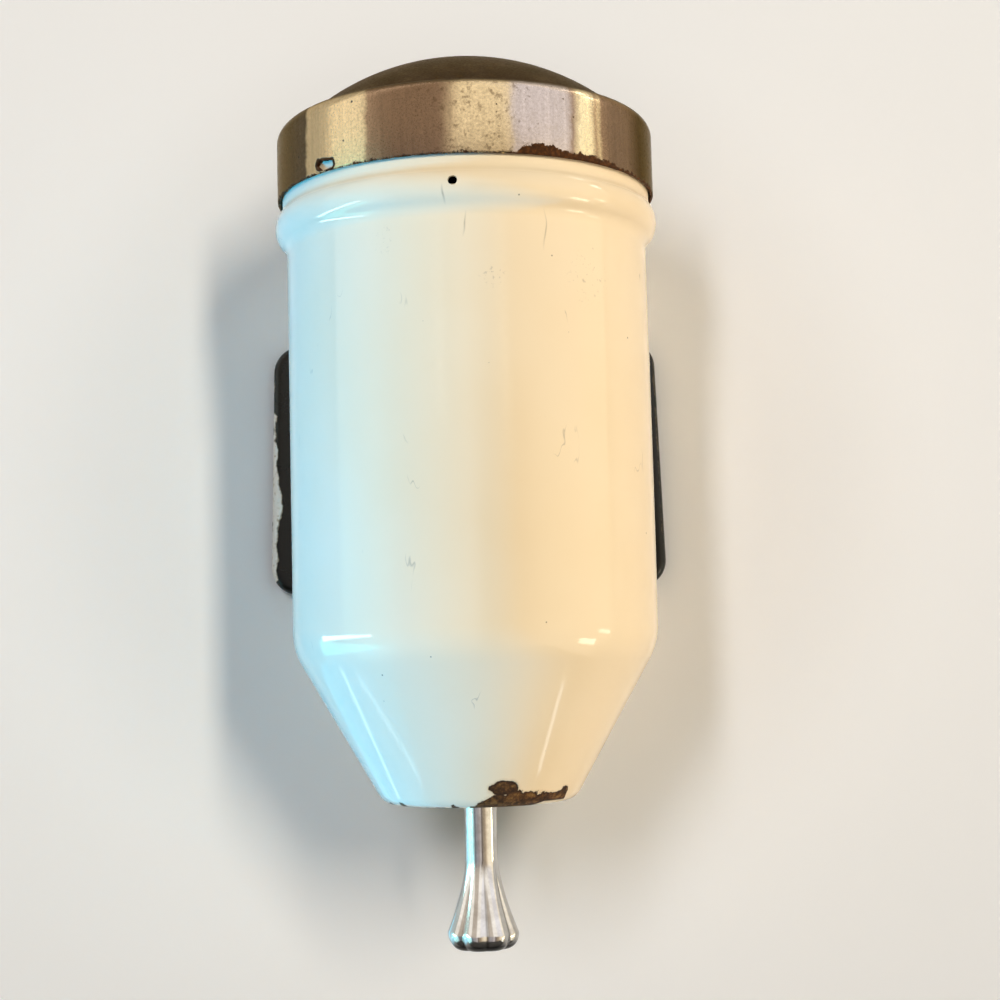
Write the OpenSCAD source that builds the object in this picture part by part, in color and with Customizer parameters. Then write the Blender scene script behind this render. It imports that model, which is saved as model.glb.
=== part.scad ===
// Wall-hung powder soap dispenser: an enamelled hopper with a slip lid, hung on a pressed wall plate,
// with a push-up plunger that opens the outlet in the hopper's base.
// Millimetres. The origin is the middle of the wall plate's back, +Y goes into the wall and +Z is up.

/* [Wall plate] */
// Width of the wall plate along its top edge
plate_top_width = 114.5; // [112:0.5:117]
// Width of the wall plate along its bottom edge
plate_bottom_width = 117.5; // [114:0.5:119]
// Height of the wall plate
plate_height = 74.5; // [70:0.5:80]
// Distance from the wall to the plate's front face
plate_depth = 7; // [6.6:0.1:7.4]
// Thickness of the plate's sheet
plate_sheet = 1.6; // [1.2:0.1:2]
// Radius of the plate's four corners, seen from the front
plate_corner_radius = 8; // [6:0.5:10]
// Radius of the rounded edge round the plate's front face
plate_edge_radius = 2.5; // [1.5:0.1:3.5]
// Distance between the left and right screw holes
screw_spacing_x = 76; // [74:0.5:80]
// Distance between the upper and lower screw holes
screw_spacing_z = 44; // [42:0.5:48]
// Radius of a screw hole
screw_hole_radius = 2.4; // [2:0.1:2.8]

/* [Hooks and hanger] */
// Distance from the middle to each hook's middle
hook_offset = 25; // [24.5:0.5:26]
// Width of a hook
hook_width = 14; // [12:0.5:14.5]
// Thickness of a hook's steel
hook_sheet = 1.6; // [1.4:0.1:1.8]
// Height of a hook's shelf underside above the plate's middle
hook_shelf_height = 2; // [0:0.5:3]
// Height of a hook's front lip above its shelf underside
hook_lip_height = 10; // [8:0.5:11]
// Height of a hook's back leg above its shelf underside
hook_back_height = 12; // [10:0.5:14]
// Length of a hook's riveted foot below its shelf underside
hook_foot_length = 10; // [9:0.5:12]
// Distance from a hook rivet to the shelf underside above it
rivet_drop = 5.5; // [5:0.1:6]
// Distance between the two rivets of one hook
rivet_spacing = 7; // [6.4:0.2:8]
// Radius of a rivet's shank
rivet_radius = 1.5; // [1.2:0.1:1.7]
// Radius of a rivet's head
rivet_head_radius = 2.8; // [2.4:0.1:3]
// Height of a rivet's head
rivet_head_height = 1.4; // [1:0.1:1.6]
// Full width of the hanger strap on the hopper's back
strap_width = 65; // [62:0.5:65]
// Height of the hanger strap
strap_height = 14; // [12:0.5:16]
// Thickness of the hanger strap
strap_sheet = 1.5; // [1.2:0.1:1.7]
// Distance from the middle to each weld foot of the strap
strap_foot_offset = 11.5; // [10.5:0.5:12.5]
// Width of a weld foot
strap_foot_width = 5; // [4:0.5:6]
// Gap left on each side of the strap in its hooks
strap_gap = 0.3; // [0.3:0.05:0.4]

/* [Hopper] */
// Gap between the wall and the back of the hopper's straight body
hopper_stand_off = 11.55; // [11.05:0.5:13.05]
// Distance from the plate's middle down to the hopper's base
hopper_base_drop = 95; // [92:0.5:98]
// Outer radius of the hopper's straight body
hopper_radius = 48.45; // [47.9:0.05:48.8]
// Thickness of the enamelled wall
hopper_wall = 1.2; // [1:0.1:1.5]
// Height of the corner where the cone meets the straight body
cone_height = 40.6; // [38:0.2:43]
// Radius of the corner where the cone meets the base
base_radius = 25.2; // [23:0.2:27]
// Rounding where the cone meets the straight body
cone_round = 18; // [12:0.5:22]
// Rounding where the cone meets the base
base_round = 5; // [3:0.5:6]
// Height of the crest of the bead under the lid
bead_height = 153.2; // [152:0.1:154]
// Height of the bead's crest off the straight body
bead_stand = 3.01; // [2.75:0.02:3.25]
// Rounding of the bead's crest
bead_round = 6; // [5.4:0.2:6.4]
// Hollow rounding below the bead
bead_fillet = 5; // [4:0.2:6]
// Hollow rounding between the bead and the neck
neck_fillet = 3; // [2.4:0.2:3.6]
// Height of the neck's top
neck_height = 177.1; // [176:0.1:178]
// Rounding of the neck's top edge
neck_round = 2; // [1.6:0.1:2.4]
// Width of the turned-in edge round the filling mouth
mouth_lip = 5; // [4.5:0.1:6.5]
// Radius of the small round hole in the bead
bead_hole_radius = 1.15; // [0.8:0.05:1.4]
// Height of the small round hole
bead_hole_height = 153.6; // [152.5:0.1:154.5]
// Angle of the small round hole to the left of the front
bead_hole_angle = 4.9; // [0:0.1:12]

/* [Lid] */
// Step from the hopper's straight body out to the lid's skirt
lid_step = 2.35; // [2.25:0.02:2.75]
// Thickness of the lid's metal
lid_wall = 0.9; // [0.7:0.05:0.95]
// Gap between the lid's skirt and the hopper's neck
lid_gap = 0.4; // [0.35:0.05:0.6]
// Height of the skirt's lower edge
lid_edge_height = 160.5; // [159.8:0.1:161.5]
// Rounding of the lid's shoulder
lid_shoulder_round = 3.5; // [3:0.1:3.8]
// Width of the flat between the lid's shoulder rounding and the dome's foot
dome_foot_inset = 1.68; // [1.4:0.02:2.8]
// Height of the dome above the lid's shoulder
dome_rise = 18.5; // [18.4:0.1:19.2]
// Thickness of the gasket inside the lid
gasket_thickness = 2; // [1.5:0.1:2.5]
// Setback of the gasket's inner edge from the filling mouth
gasket_setback = 1; // [0.7:0.1:1.5]
// Reach of the gasket's foot past the flat of the lid's shoulder
gasket_lip = 0.9; // [0.6:0.1:1.2]
// Height of the worn nick in the skirt's edge
nick_height = 3.2; // [2.4:0.1:4]
// Width of the worn nick in the skirt's edge
nick_width = 5.6; // [5:0.1:7]
// Rounding of the worn nick's two corners
nick_round = 1.4; // [1:0.1:1.5]
// Fall of the worn nick's left corner below its right corner
nick_slope = 0.6; // [0.2:0.1:0.8]
// Angle of the worn nick to the left of the front
nick_angle = 44; // [20:1:70]

/* [Outlet and valve] */
// Radius of the hole in the hopper's base
outlet_hole_radius = 9; // [8.6:0.1:9.6]
// Radius of the outlet's bore
outlet_bore_radius = 7; // [6.6:0.1:7.4]
// Outer radius of the outlet seat's flange
seat_flange_radius = 14; // [13:0.1:15]
// Thickness of the outlet seat's flange
seat_flange_thickness = 2; // [1.6:0.1:2.4]
// Radius of the valve washer and its backing disc
valve_radius = 11; // [10:0.1:12]
// Thickness of the rubber valve washer
valve_washer_thickness = 2; // [1.5:0.1:2.5]
// Thickness of the valve's backing disc
valve_disc_thickness = 1.6; // [1.2:0.1:2]
// Width of the valve nut across its flats
valve_nut_width = 8; // [7.5:0.1:9]
// Thickness of the valve nut
valve_nut_thickness = 3.2; // [2.6:0.1:3.8]

/* [Plunger] */
// Push travel of the plunger
plunger_travel = 10; // [8:0.5:11]
// Radius of the plunger's round shank
shank_radius = 4.3; // [4.1:0.1:4.6]
// Length of the shank below the hopper's base, down to the flare
shank_drop = 15; // [13:0.5:16]
// Distance from the base down to the flare's widest ring
flare_drop = 34; // [32:0.5:36]
// Radius of the flare's widest ring
flare_radius = 9.6; // [9:0.1:10.2]
// Height of the rounding under the flare
flare_round_height = 4.2; // [3.5:0.1:5]
// Radius of the flat under the flare
flare_foot_radius = 6; // [5.5:0.1:6.6]
// Depth of the grooves between the flare's lobes
groove_depth = 1.4; // [0.8:0.1:1.8]
// Turn of the front lobe to the left
lobe_turn = 3; // [0:0.5:10]
// Radius of the spindle
spindle_radius = 2.5; // [2.3:0.05:2.6]
// Length of the spindle held in the plunger's shank, below the base
spindle_socket = 12; // [10:0.5:13]
// Height of the spindle's top above the guide bush
spindle_rise = 8.5; // [6:0.5:12]
// Running gap round the spindle in its guide
spindle_gap = 0.05; // [0.03:0.01:0.08]
// Gap round the spindle in pieces fixed to it
fixed_gap = 0.02; // [0.01:0.01:0.03]

/* [Agitators] */
// Radius of the agitator wire
agitator_radius = 1.25; // [1:0.05:1.3]
// Height of the lower agitator
lower_agitator_height = 22; // [20:0.5:24]
// Reach of the lower agitator to each side
lower_agitator_reach = 20; // [17:0.5:22]
// Height of the upper agitator
upper_agitator_height = 42; // [40:0.5:44]
// Reach of the upper agitator to each side
upper_agitator_reach = 28; // [24:0.5:30]
// Length of an agitator's straight upturned tip
agitator_tip = 6; // [4:0.5:8]
// Bend radius of the agitator wire
agitator_bend = 4; // [3:0.5:5]

/* [Guide and spring] */
// Height of the guide bridge's underside
bridge_height = 96; // [94:0.5:98]
// Thickness of the guide bridge
bridge_thickness = 2; // [1.6:0.1:2.4]
// Width of the guide bridge
bridge_width = 12; // [11:0.5:14]
// Gap between each end of the guide bridge and the hopper's inside
bridge_end_gap = 2.25; // [1.75:0.25:3.25]
// Thickness of a bridge lug's steel
lug_sheet = 1.6; // [1.4:0.1:2]
// Height of a bridge lug
lug_height = 13; // [10:0.5:15]
// Length of a bridge lug's shelf
lug_shelf_length = 12; // [11.5:0.5:13]
// Distance from the hopper's inside in to each bridge screw
bridge_screw_inset = 8.25; // [7.65:0.1:8.65]
// Radius of a bridge screw
bridge_screw_radius = 2; // [1.8:0.05:2.2]
// Length of a bridge screw under its head
bridge_screw_length = 9; // [8:0.5:10]
// Radius of a bridge screw's head
bridge_head_radius = 3.8; // [3.4:0.1:4]
// Height of a bridge screw's head
bridge_head_height = 2.4; // [2:0.1:3]
// Width of the slot in a bridge screw's head
bridge_slot_width = 1; // [0.8:0.1:1.4]
// Width of a bridge nut across its flats
bridge_nut_width = 7; // [6.5:0.1:7.5]
// Thickness of a bridge nut
bridge_nut_thickness = 3.2; // [2.8:0.1:3.4]
// Outer radius of the guide bush
bush_radius = 5; // [4.6:0.1:5.2]
// Radius of the guide bush's flange
bush_flange_radius = 7.5; // [7:0.1:8.5]
// Thickness of the guide bush's flange
bush_flange_thickness = 1.5; // [1.2:0.1:2]
// Length of the guide bush below the bridge
bush_drop = 4; // [3:0.5:5]
// Height of the spring collar's underside
collar_height = 59; // [57.5:0.5:60.5]
// Thickness of the spring collar
collar_thickness = 2; // [1.6:0.1:2.4]
// Radius of the spring collar
collar_radius = 9.5; // [9:0.1:10.5]
// Radius of the pin under the spring collar
collar_pin_radius = 1; // [0.8:0.05:1.1]
// Length of the pin under the spring collar
collar_pin_length = 12; // [10:0.5:14]
// Outer radius of the stop sleeve
sleeve_radius = 4.4; // [4:0.1:4.8]
// Radius of the spring's coil, to the middle of its wire
spring_radius = 7; // [6.6:0.1:7.6]
// Diameter of the spring's wire
spring_wire = 1.2; // [1:0.05:1.3]
// Number of turns in the spring
spring_turns = 8; // [6:1:9]

/* [Hidden] */
$fn = 96;
cut = 1;
arc_steps = 8;
corner_steps = 6;
edge_steps = 5;
cone_angle = atan((hopper_radius - base_radius) / cone_height);
hopper_inner_radius = hopper_radius - hopper_wall;
hopper_axis_out = hopper_radius + hopper_stand_off;
lid_radius = hopper_radius + lid_step;
lid_inner_radius = lid_radius - lid_wall;
neck_radius = lid_inner_radius - lid_gap;
mouth_radius = neck_radius - mouth_lip;
gasket_inner_radius = mouth_radius + gasket_setback;
bead_radius = hopper_radius + bead_stand;
bead_centre = bead_radius - bead_round;
bead_lower_reach = hopper_radius + bead_fillet - bead_centre;
bead_lower_drop = sqrt(pow(bead_round + bead_fillet, 2) - pow(bead_lower_reach, 2));
bead_lower_angle = atan2(bead_lower_drop, bead_lower_reach);
bead_upper_reach = neck_radius + neck_fillet - bead_centre;
bead_upper_rise = sqrt(pow(bead_round + neck_fillet, 2) - pow(bead_upper_reach, 2));
bead_upper_angle = atan2(bead_upper_rise, bead_upper_reach);
lid_shoulder_height = neck_height + gasket_thickness + lid_wall;
lid_shoulder_radius = lid_radius - lid_shoulder_round;
dome_foot_radius = lid_shoulder_radius - dome_foot_inset;
dome_sphere_radius = (pow(dome_foot_radius, 2) + pow(dome_rise, 2)) / (2 * dome_rise);
dome_centre_height = lid_shoulder_height + dome_rise - dome_sphere_radius;
hook_lip_back = plate_depth + hook_sheet + strap_sheet + 2 * strap_gap;
hook_depth = hook_lip_back + hook_sheet;
strap_back = plate_depth + hook_sheet + strap_gap;
strap_base = hook_shelf_height + hook_sheet;
seat_top = hopper_wall + seat_flange_thickness;
valve_disc_base = seat_top + valve_washer_thickness;
valve_nut_base = valve_disc_base + valve_disc_thickness;
collar_top = collar_height + collar_thickness;
bridge_top = bridge_height + bridge_thickness;
bridge_length = 2 * (hopper_inner_radius - bridge_end_gap);
bridge_screw_offset = hopper_inner_radius - bridge_screw_inset;
bush_base = bridge_height - bush_drop;
spindle_height = bridge_top + bush_flange_thickness + spindle_rise;
lug_shelf_base = bridge_height - lug_sheet;
sleeve_top = bush_base - plunger_travel;
lobe_count = 8;
lobe_steps = 6;
flare_steps = 8;
round_steps = 4;
spring_rings = 8;
spring_sides = 6;
spring_base = collar_top + spring_wire / 2 + fixed_gap;
spring_rise = bridge_height - collar_top - spring_wire - 2 * fixed_gap;

ENAMEL = [0.90, 0.87, 0.78];
BLACK = [0.08, 0.08, 0.08];
PLATED = [0.68, 0.65, 0.58];
CHROME = [0.80, 0.80, 0.80];
STEEL = [0.60, 0.61, 0.63];
BRASS = [0.75, 0.60, 0.30];
RUBBER = [0.15, 0.14, 0.13];
CORK = [0.62, 0.44, 0.26];

// Points along an arc about [x, y], from one angle to another
function arc(x, y, r, from, to) =
    [for (i = [0:arc_steps]) let (a = from + (to - from) * i / arc_steps) [x + r * cos(a), y + r * sin(a)]];

// Faces of a solid made of stacked rings, each ring running anticlockwise seen from above
function ring_faces(rings, n) = concat(
    [[for (j = [0:n - 1]) j]],
    [for (i = [0:rings - 2], j = [0:n - 1], k = [0, 1])
        let (a = i * n + j, b = i * n + (j + 1) % n)
        k == 0 ? [a, a + n, b + n] : [a, b + n, b]],
    [[for (j = [n - 1:-1:0]) (rings - 1) * n + j]]);

// The hopper's upright axis, with height zero at its base
module on_hopper() {
    translate([0, -hopper_axis_out, -hopper_base_drop])
        children();
}

// Left and right copies of a piece
module both_sides() {
    children();
    mirror([1, 0, 0])
        children();
}

// A tube standing on its end
module tube(outer, inner, base, height) {
    difference() {
        translate([0, 0, base])
            cylinder(r = outer, h = height);
        translate([0, 0, base - cut])
            cylinder(r = inner, h = height + 2 * cut);
    }
}

// A hexagonal nut with a round hole
module hex_nut(width, hole, base, height) {
    difference() {
        translate([0, 0, base])
            cylinder(r = width / 2 / cos(30), h = height, $fn = 6);
        translate([0, 0, base - cut])
            cylinder(r = hole, h = height + 2 * cut);
    }
}

// One outline of the wall plate, drawn in from its edge, at a height off the wall
function plate_ring(inset, rise) =
    let (r = plate_corner_radius - inset,
        top = plate_top_width / 2 - plate_corner_radius,
        bottom = plate_bottom_width / 2 - plate_corner_radius,
        half = plate_height / 2 - plate_corner_radius,
        corners = [[top, half, 0], [-top, half, 90], [-bottom, -half, 180], [bottom, -half, 270]])
    [for (c = corners, i = [0:corner_steps])
        let (a = c[2] + 90 * i / corner_steps)
        [c[0] + r * cos(a), c[1] + r * sin(a), rise]];

// Solid block of the wall plate's shape with a rounded front edge
module plate_block(inset, back, front, edge) {
    rounding = [for (i = [0:edge_steps]) let (a = 90 * i / edge_steps)
        plate_ring(inset + edge * (1 - cos(a)), front - edge + edge * sin(a))];
    rings = concat([plate_ring(inset, back)], rounding);
    rotate([90, 0, 0])
        polyhedron(points = [for (r = rings, p = r) p], faces = ring_faces(len(rings), len(rings[0])));
}

// Places of the wall screws
module at_screws() {
    for (x = [-1, 1], z = [-1, 1])
        translate([x * screw_spacing_x / 2, 0, z * screw_spacing_z / 2])
            children();
}

// Places of the hook rivets
module at_rivets() {
    for (x = [-1, 1], s = [-1, 1])
        translate([x * hook_offset + s * rivet_spacing / 2, 0, hook_shelf_height - rivet_drop])
            children();
}

// Pressed wall plate: a shallow pan, open at the back, with four screw holes
module wall_plate() {
    color(BLACK)
        difference() {
            plate_block(0, 0, plate_depth, plate_edge_radius);
            plate_block(plate_sheet, -cut, plate_depth - plate_sheet, plate_edge_radius - plate_sheet / 2);
            at_screws()
                rotate([90, 0, 0])
                    cylinder(r = screw_hole_radius, h = plate_depth + cut);
            at_rivets()
                rotate([90, 0, 0])
                    cylinder(r = rivet_radius, h = plate_depth + cut);
        }
}

// Two J-shaped hooks riveted to the plate's front; the hanger strap drops in behind their lips
module plate_hooks() {
    color(BLACK)
        difference() {
            both_sides()
                translate([hook_offset - hook_width / 2, 0, hook_shelf_height]) {
                    translate([0, -plate_depth - hook_sheet, -hook_foot_length])
                        cube([hook_width, hook_sheet, hook_foot_length + hook_back_height]);
                    translate([0, -hook_depth, 0])
                        cube([hook_width, hook_depth - plate_depth, hook_sheet]);
                    translate([0, -hook_depth, 0])
                        cube([hook_width, hook_sheet, hook_lip_height]);
                }
            at_rivets()
                rotate([90, 0, 0])
                    cylinder(r = rivet_radius, h = hook_depth);
        }
}

// Four rivets that hold the hooks, with a head on each side of the sheets
module hook_rivets() {
    grip = plate_sheet + hook_sheet;
    color(STEEL)
        at_rivets()
            translate([0, -plate_depth + plate_sheet, 0])
                rotate([90, 0, 0]) {
                    cylinder(r = rivet_radius, h = grip, $fn = 48);
                    translate([0, 0, grip])
                        cylinder(r1 = rivet_head_radius, r2 = rivet_radius, h = rivet_head_height, $fn = 48);
                    translate([0, 0, -rivet_head_height])
                        cylinder(r1 = rivet_radius, r2 = rivet_head_radius, h = rivet_head_height, $fn = 48);
                }
}

// The hopper's outline from its base to below the neck's top, drawn in by the wall or not at all
function hopper_side(inset) = concat(
    arc(base_radius - base_round * tan((90 - cone_angle) / 2), base_round,
        base_round - inset, -90, -cone_angle),
    arc(hopper_radius - cone_round, cone_height + cone_round * tan(cone_angle / 2),
        cone_round - inset, -cone_angle, 0),
    arc(hopper_radius + bead_fillet, bead_height - bead_lower_drop,
        bead_fillet + inset, 180, 180 - bead_lower_angle),
    arc(bead_centre, bead_height, bead_round - inset, -bead_lower_angle, bead_upper_angle),
    arc(neck_radius + neck_fillet, bead_height + bead_upper_rise,
        neck_fillet + inset, 180 + bead_upper_angle, 180),
    arc(neck_radius - neck_round, neck_height - neck_round, neck_round - inset, 0, 90));

// Enamelled hopper: straight body, beaded neck with a turned-in mouth, conical base with a round outlet
module hopper_shell() {
    outside = hopper_side(0);
    inside = hopper_side(hopper_wall);
    mouth = [[mouth_radius, neck_height], [mouth_radius, neck_height - hopper_wall]];
    inside_down = [for (i = [len(inside) - 1:-1:0]) inside[i]];
    base = [[outlet_hole_radius, hopper_wall], [outlet_hole_radius, 0]];
    color(ENAMEL)
        on_hopper()
            difference() {
                rotate_extrude()
                    polygon(concat(outside, mouth, inside_down, base));
                translate([0, 0, bead_hole_height])
                    rotate([90, 0, -bead_hole_angle])
                        cylinder(r = bead_hole_radius, h = bead_radius + cut, $fn = 48);
            }
}

// Hanger strap welded to the hopper's back by two feet shaped to its body
module hanger_strap() {
    foot_reach = hopper_axis_out - strap_back - strap_sheet;
    color(ENAMEL)
        difference() {
            translate([0, -strap_back - strap_sheet, strap_base]) {
                translate([-strap_width / 2, 0, 0])
                    cube([strap_width, strap_sheet, strap_height]);
                both_sides()
                    translate([strap_foot_offset - strap_foot_width / 2, -foot_reach, 0])
                        cube([strap_foot_width, foot_reach, strap_height]);
            }
            translate([0, -hopper_axis_out, strap_base - cut])
                cylinder(r = hopper_radius, h = strap_height + 2 * cut);
        }
}

// Turned outlet seat: a flange on the hopper's base with a spigot through the outlet hole
module outlet_seat() {
    color(BRASS)
        on_hopper()
            difference() {
                union() {
                    translate([0, 0, hopper_wall])
                        cylinder(r = seat_flange_radius, h = seat_flange_thickness);
                    cylinder(r = outlet_hole_radius, h = hopper_wall);
                }
                translate([0, 0, -cut])
                    cylinder(r = outlet_bore_radius, h = seat_top + 2 * cut);
            }
}

// Two angle lugs welded inside the hopper, with a shelf under each end of the bridge
module bridge_lugs() {
    shelf_end = hopper_inner_radius - lug_sheet / 2;
    color(ENAMEL)
        on_hopper()
            both_sides()
                difference() {
                    union() {
                        intersection() {
                            tube(hopper_inner_radius, hopper_inner_radius - lug_sheet,
                                bridge_height - lug_height, lug_height);
                            translate([0, -bridge_width / 2, 0])
                                cube([hopper_radius, bridge_width, bridge_height + cut]);
                        }
                        translate([shelf_end - lug_shelf_length, -bridge_width / 2, lug_shelf_base])
                            cube([lug_shelf_length - lug_sheet / 2, bridge_width, lug_sheet]);
                    }
                    translate([bridge_screw_offset, 0, lug_shelf_base - cut])
                        cylinder(r = bridge_screw_radius + fixed_gap, h = lug_sheet + 2 * cut, $fn = 48);
                }
}

// Flat bar across the hopper that carries the guide bush
module guide_bridge() {
    color(STEEL)
        on_hopper()
            difference() {
                translate([-bridge_length / 2, -bridge_width / 2, bridge_height])
                    cube([bridge_length, bridge_width, bridge_thickness]);
                translate([0, 0, bridge_height - cut])
                    cylinder(r = bush_radius, h = bridge_thickness + 2 * cut);
                both_sides()
                    translate([bridge_screw_offset, 0, bridge_height - cut])
                        cylinder(r = bridge_screw_radius + fixed_gap, h = bridge_thickness + 2 * cut, $fn = 48);
            }
}

// Brass bush in the bridge, in which the spindle slides
module guide_bush() {
    bore = spindle_radius + spindle_gap;
    color(BRASS)
        on_hopper() {
            tube(bush_radius, bore, bush_base, bridge_top - bush_base);
            tube(bush_flange_radius, bore, bridge_top, bush_flange_thickness);
        }
}

// Two cheese-head screws that hold the bridge on its lugs
module bridge_screws() {
    color(STEEL)
        on_hopper()
            both_sides()
                translate([bridge_screw_offset, 0, bridge_top]) {
                    difference() {
                        cylinder(r = bridge_head_radius, h = bridge_head_height, $fn = 48);
                        translate([-bridge_head_radius - cut, -bridge_slot_width / 2, bridge_head_height / 2])
                            cube([2 * bridge_head_radius + 2 * cut, bridge_slot_width, bridge_head_height]);
                    }
                    translate([0, 0, -bridge_screw_length])
                        cylinder(r = bridge_screw_radius, h = bridge_screw_length, $fn = 48);
                }
}

// Two nuts under the lug shelves
module bridge_nuts() {
    color(STEEL)
        on_hopper()
            both_sides()
                translate([bridge_screw_offset, 0, 0])
                    hex_nut(bridge_nut_width, bridge_screw_radius + fixed_gap,
                        lug_shelf_base - bridge_nut_thickness, bridge_nut_thickness);
}

// One side of the lid's metal, drawn in by its thickness or not at all, from the edge to the dome's top
function lid_side(inset) =
    let (sphere = dome_sphere_radius - inset,
        foot = asin((lid_shoulder_height - inset - dome_centre_height) / sphere))
    concat(
        [[lid_radius - inset, lid_edge_height]],
        arc(lid_shoulder_radius, lid_shoulder_height - lid_shoulder_round, lid_shoulder_round - inset, 0, 90),
        arc(0, dome_centre_height, sphere, foot, 90));

// Slip lid: straight skirt, rounded shoulder and low dome, with one worn nick in its edge
module lid_shell() {
    outside = lid_side(0);
    inside = lid_side(lid_wall);
    corner = nick_width / 2 - nick_round;
    color(PLATED)
        on_hopper()
            difference() {
                rotate_extrude()
                    polygon(concat(outside, [for (i = [len(inside) - 1:-1:0]) inside[i]]));
                translate([0, 0, lid_edge_height])
                    rotate([90, 0, -nick_angle]) {
                        translate([corner, nick_height - nick_round, neck_radius])
                            cylinder(r = nick_round, h = lid_radius, $fn = 48);
                        translate([-corner, nick_height - nick_round - nick_slope, neck_radius])
                            cylinder(r = nick_round, h = lid_radius, $fn = 48);
                        translate([-corner, -cut, neck_radius])
                            cube([2 * corner, nick_height - nick_round + cut, lid_radius]);
                    }
            }
}

// Cork gasket under the lid's shoulder, resting on the hopper's mouth
module lid_gasket() {
    top = lid_shoulder_height - lid_wall;
    foot_radius = lid_shoulder_radius + gasket_lip;
    color(CORK)
        on_hopper()
            rotate_extrude()
                polygon([[gasket_inner_radius, neck_height], [foot_radius, neck_height],
                    [foot_radius, top - gasket_thickness / 2], [lid_shoulder_radius, top],
                    [gasket_inner_radius, top]]);
}

// Radius of the knob down its flare, for a share t of the flare's length
function flare_size(t) = shank_radius + (flare_radius - shank_radius) * pow(t, 1.5);

// One lobed ring of the knob
function knob_ring(radius, groove, height) =
    [for (j = [0:lobe_count * lobe_steps - 1])
        let (a = 360 * j / (lobe_count * lobe_steps),
            r = radius - groove * (1 - abs(cos(a * lobe_count / 2))))
        [r * cos(a - 90 - lobe_turn), r * sin(a - 90 - lobe_turn), height]];

// Chromed push knob: round shank through the outlet, flaring out into soft lobes
module push_knob() {
    foot = [for (i = [round_steps:-1:1]) let (a = 90 * i / round_steps,
            r = flare_foot_radius + (flare_radius - flare_foot_radius) * cos(a))
        knob_ring(r, groove_depth * r / flare_radius, -flare_drop - flare_round_height * sin(a))];
    flare = [for (i = [flare_steps:-1:1]) let (t = i / flare_steps)
        knob_ring(flare_size(t), groove_depth * t, -shank_drop - (flare_drop - shank_drop) * t)];
    shank = [knob_ring(shank_radius, 0, -shank_drop), knob_ring(shank_radius, 0, seat_top)];
    rings = concat(foot, flare, shank);
    color(CHROME)
        on_hopper()
            difference() {
                polyhedron(points = [for (r = rings, p = r) p],
                    faces = ring_faces(len(rings), lobe_count * lobe_steps));
                translate([0, 0, -spindle_socket])
                    cylinder(r = spindle_radius + fixed_gap, h = spindle_socket + seat_top + cut, $fn = 48);
            }
}

// Steel spindle from the knob up through the guide bush, with cross holes for the agitators and the pin
module spindle() {
    color(STEEL)
        on_hopper()
            difference() {
                translate([0, 0, -spindle_socket])
                    cylinder(r = spindle_radius, h = spindle_socket + spindle_height, $fn = 48);
                translate([0, 0, lower_agitator_height])
                    rotate([90, 0, 0])
                        cylinder(r = agitator_radius, h = 4 * spindle_radius, center = true, $fn = 48);
                translate([0, 0, upper_agitator_height])
                    rotate([0, 90, 0])
                        cylinder(r = agitator_radius, h = 4 * spindle_radius, center = true, $fn = 48);
                translate([0, 0, collar_height - collar_pin_radius])
                    rotate([0, 90, 0])
                        cylinder(r = collar_pin_radius, h = 4 * spindle_radius, center = true, $fn = 48);
            }
}

// Rubber valve washer, resting flat on the outlet seat
module valve_washer() {
    color(RUBBER)
        on_hopper()
            tube(valve_radius, spindle_radius + fixed_gap, seat_top, valve_washer_thickness);
}

// Steel disc that backs the valve washer
module valve_disc() {
    color(STEEL)
        on_hopper()
            tube(valve_radius, spindle_radius + fixed_gap, valve_disc_base, valve_disc_thickness);
}

// Nut that clamps the valve against the knob's shank
module valve_nut() {
    color(BRASS)
        on_hopper()
            hex_nut(valve_nut_width, spindle_radius + fixed_gap, valve_nut_base, valve_nut_thickness);
}

// Wire through the spindle with both tips bent up, lying along X
module agitator(reach, height) {
    straight = reach - agitator_bend;
    bend_height = height + agitator_bend;
    translate([-straight, 0, height])
        rotate([0, 90, 0])
            cylinder(r = agitator_radius, h = 2 * straight, $fn = 48);
    both_sides()
        translate([straight, 0, bend_height]) {
            rotate([90, 0, 0])
                rotate([0, 0, -90])
                    rotate_extrude(angle = 90, $fn = 48)
                        translate([agitator_bend, 0])
                            circle(r = agitator_radius, $fn = 48);
            translate([agitator_bend, 0, 0])
                cylinder(r = agitator_radius, h = agitator_tip, $fn = 48);
        }
}

// Lower agitator, from front to back
module lower_agitator() {
    color(STEEL)
        on_hopper()
            rotate([0, 0, 90])
                agitator(lower_agitator_reach, lower_agitator_height);
}

// Upper agitator, from side to side
module upper_agitator() {
    color(STEEL)
        on_hopper()
            agitator(upper_agitator_reach, upper_agitator_height);
}

// Cross pin that carries the spring collar
module collar_pin() {
    color(STEEL)
        on_hopper()
            translate([0, 0, collar_height - collar_pin_radius])
                rotate([0, 90, 0])
                    cylinder(r = collar_pin_radius, h = collar_pin_length, center = true, $fn = 48);
}

// Collar under the spring
module spring_collar() {
    color(STEEL)
        on_hopper()
            tube(collar_radius, spindle_radius + fixed_gap, collar_height, collar_thickness);
}

// Sleeve inside the spring that meets the guide bush at the end of the push
module stop_sleeve() {
    color(STEEL)
        on_hopper()
            tube(sleeve_radius, spindle_radius + fixed_gap, collar_top, sleeve_top - collar_top);
}

// Middle of the spring's wire at ring i
function spring_point(i) =
    let (a = 360 * i / spring_rings)
    [spring_radius * cos(a), spring_radius * sin(a), spring_base + spring_rise * i / (spring_rings * spring_turns)];

// One ring of the spring's wire
function spring_ring(i) =
    let (a = 360 * i / spring_rings, p = spring_point(i))
    [for (j = [0:spring_sides - 1])
        let (b = 360 * j / spring_sides)
        p + spring_wire / 2 * [cos(a) * cos(b), sin(a) * cos(b), -sin(b)]];

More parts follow.
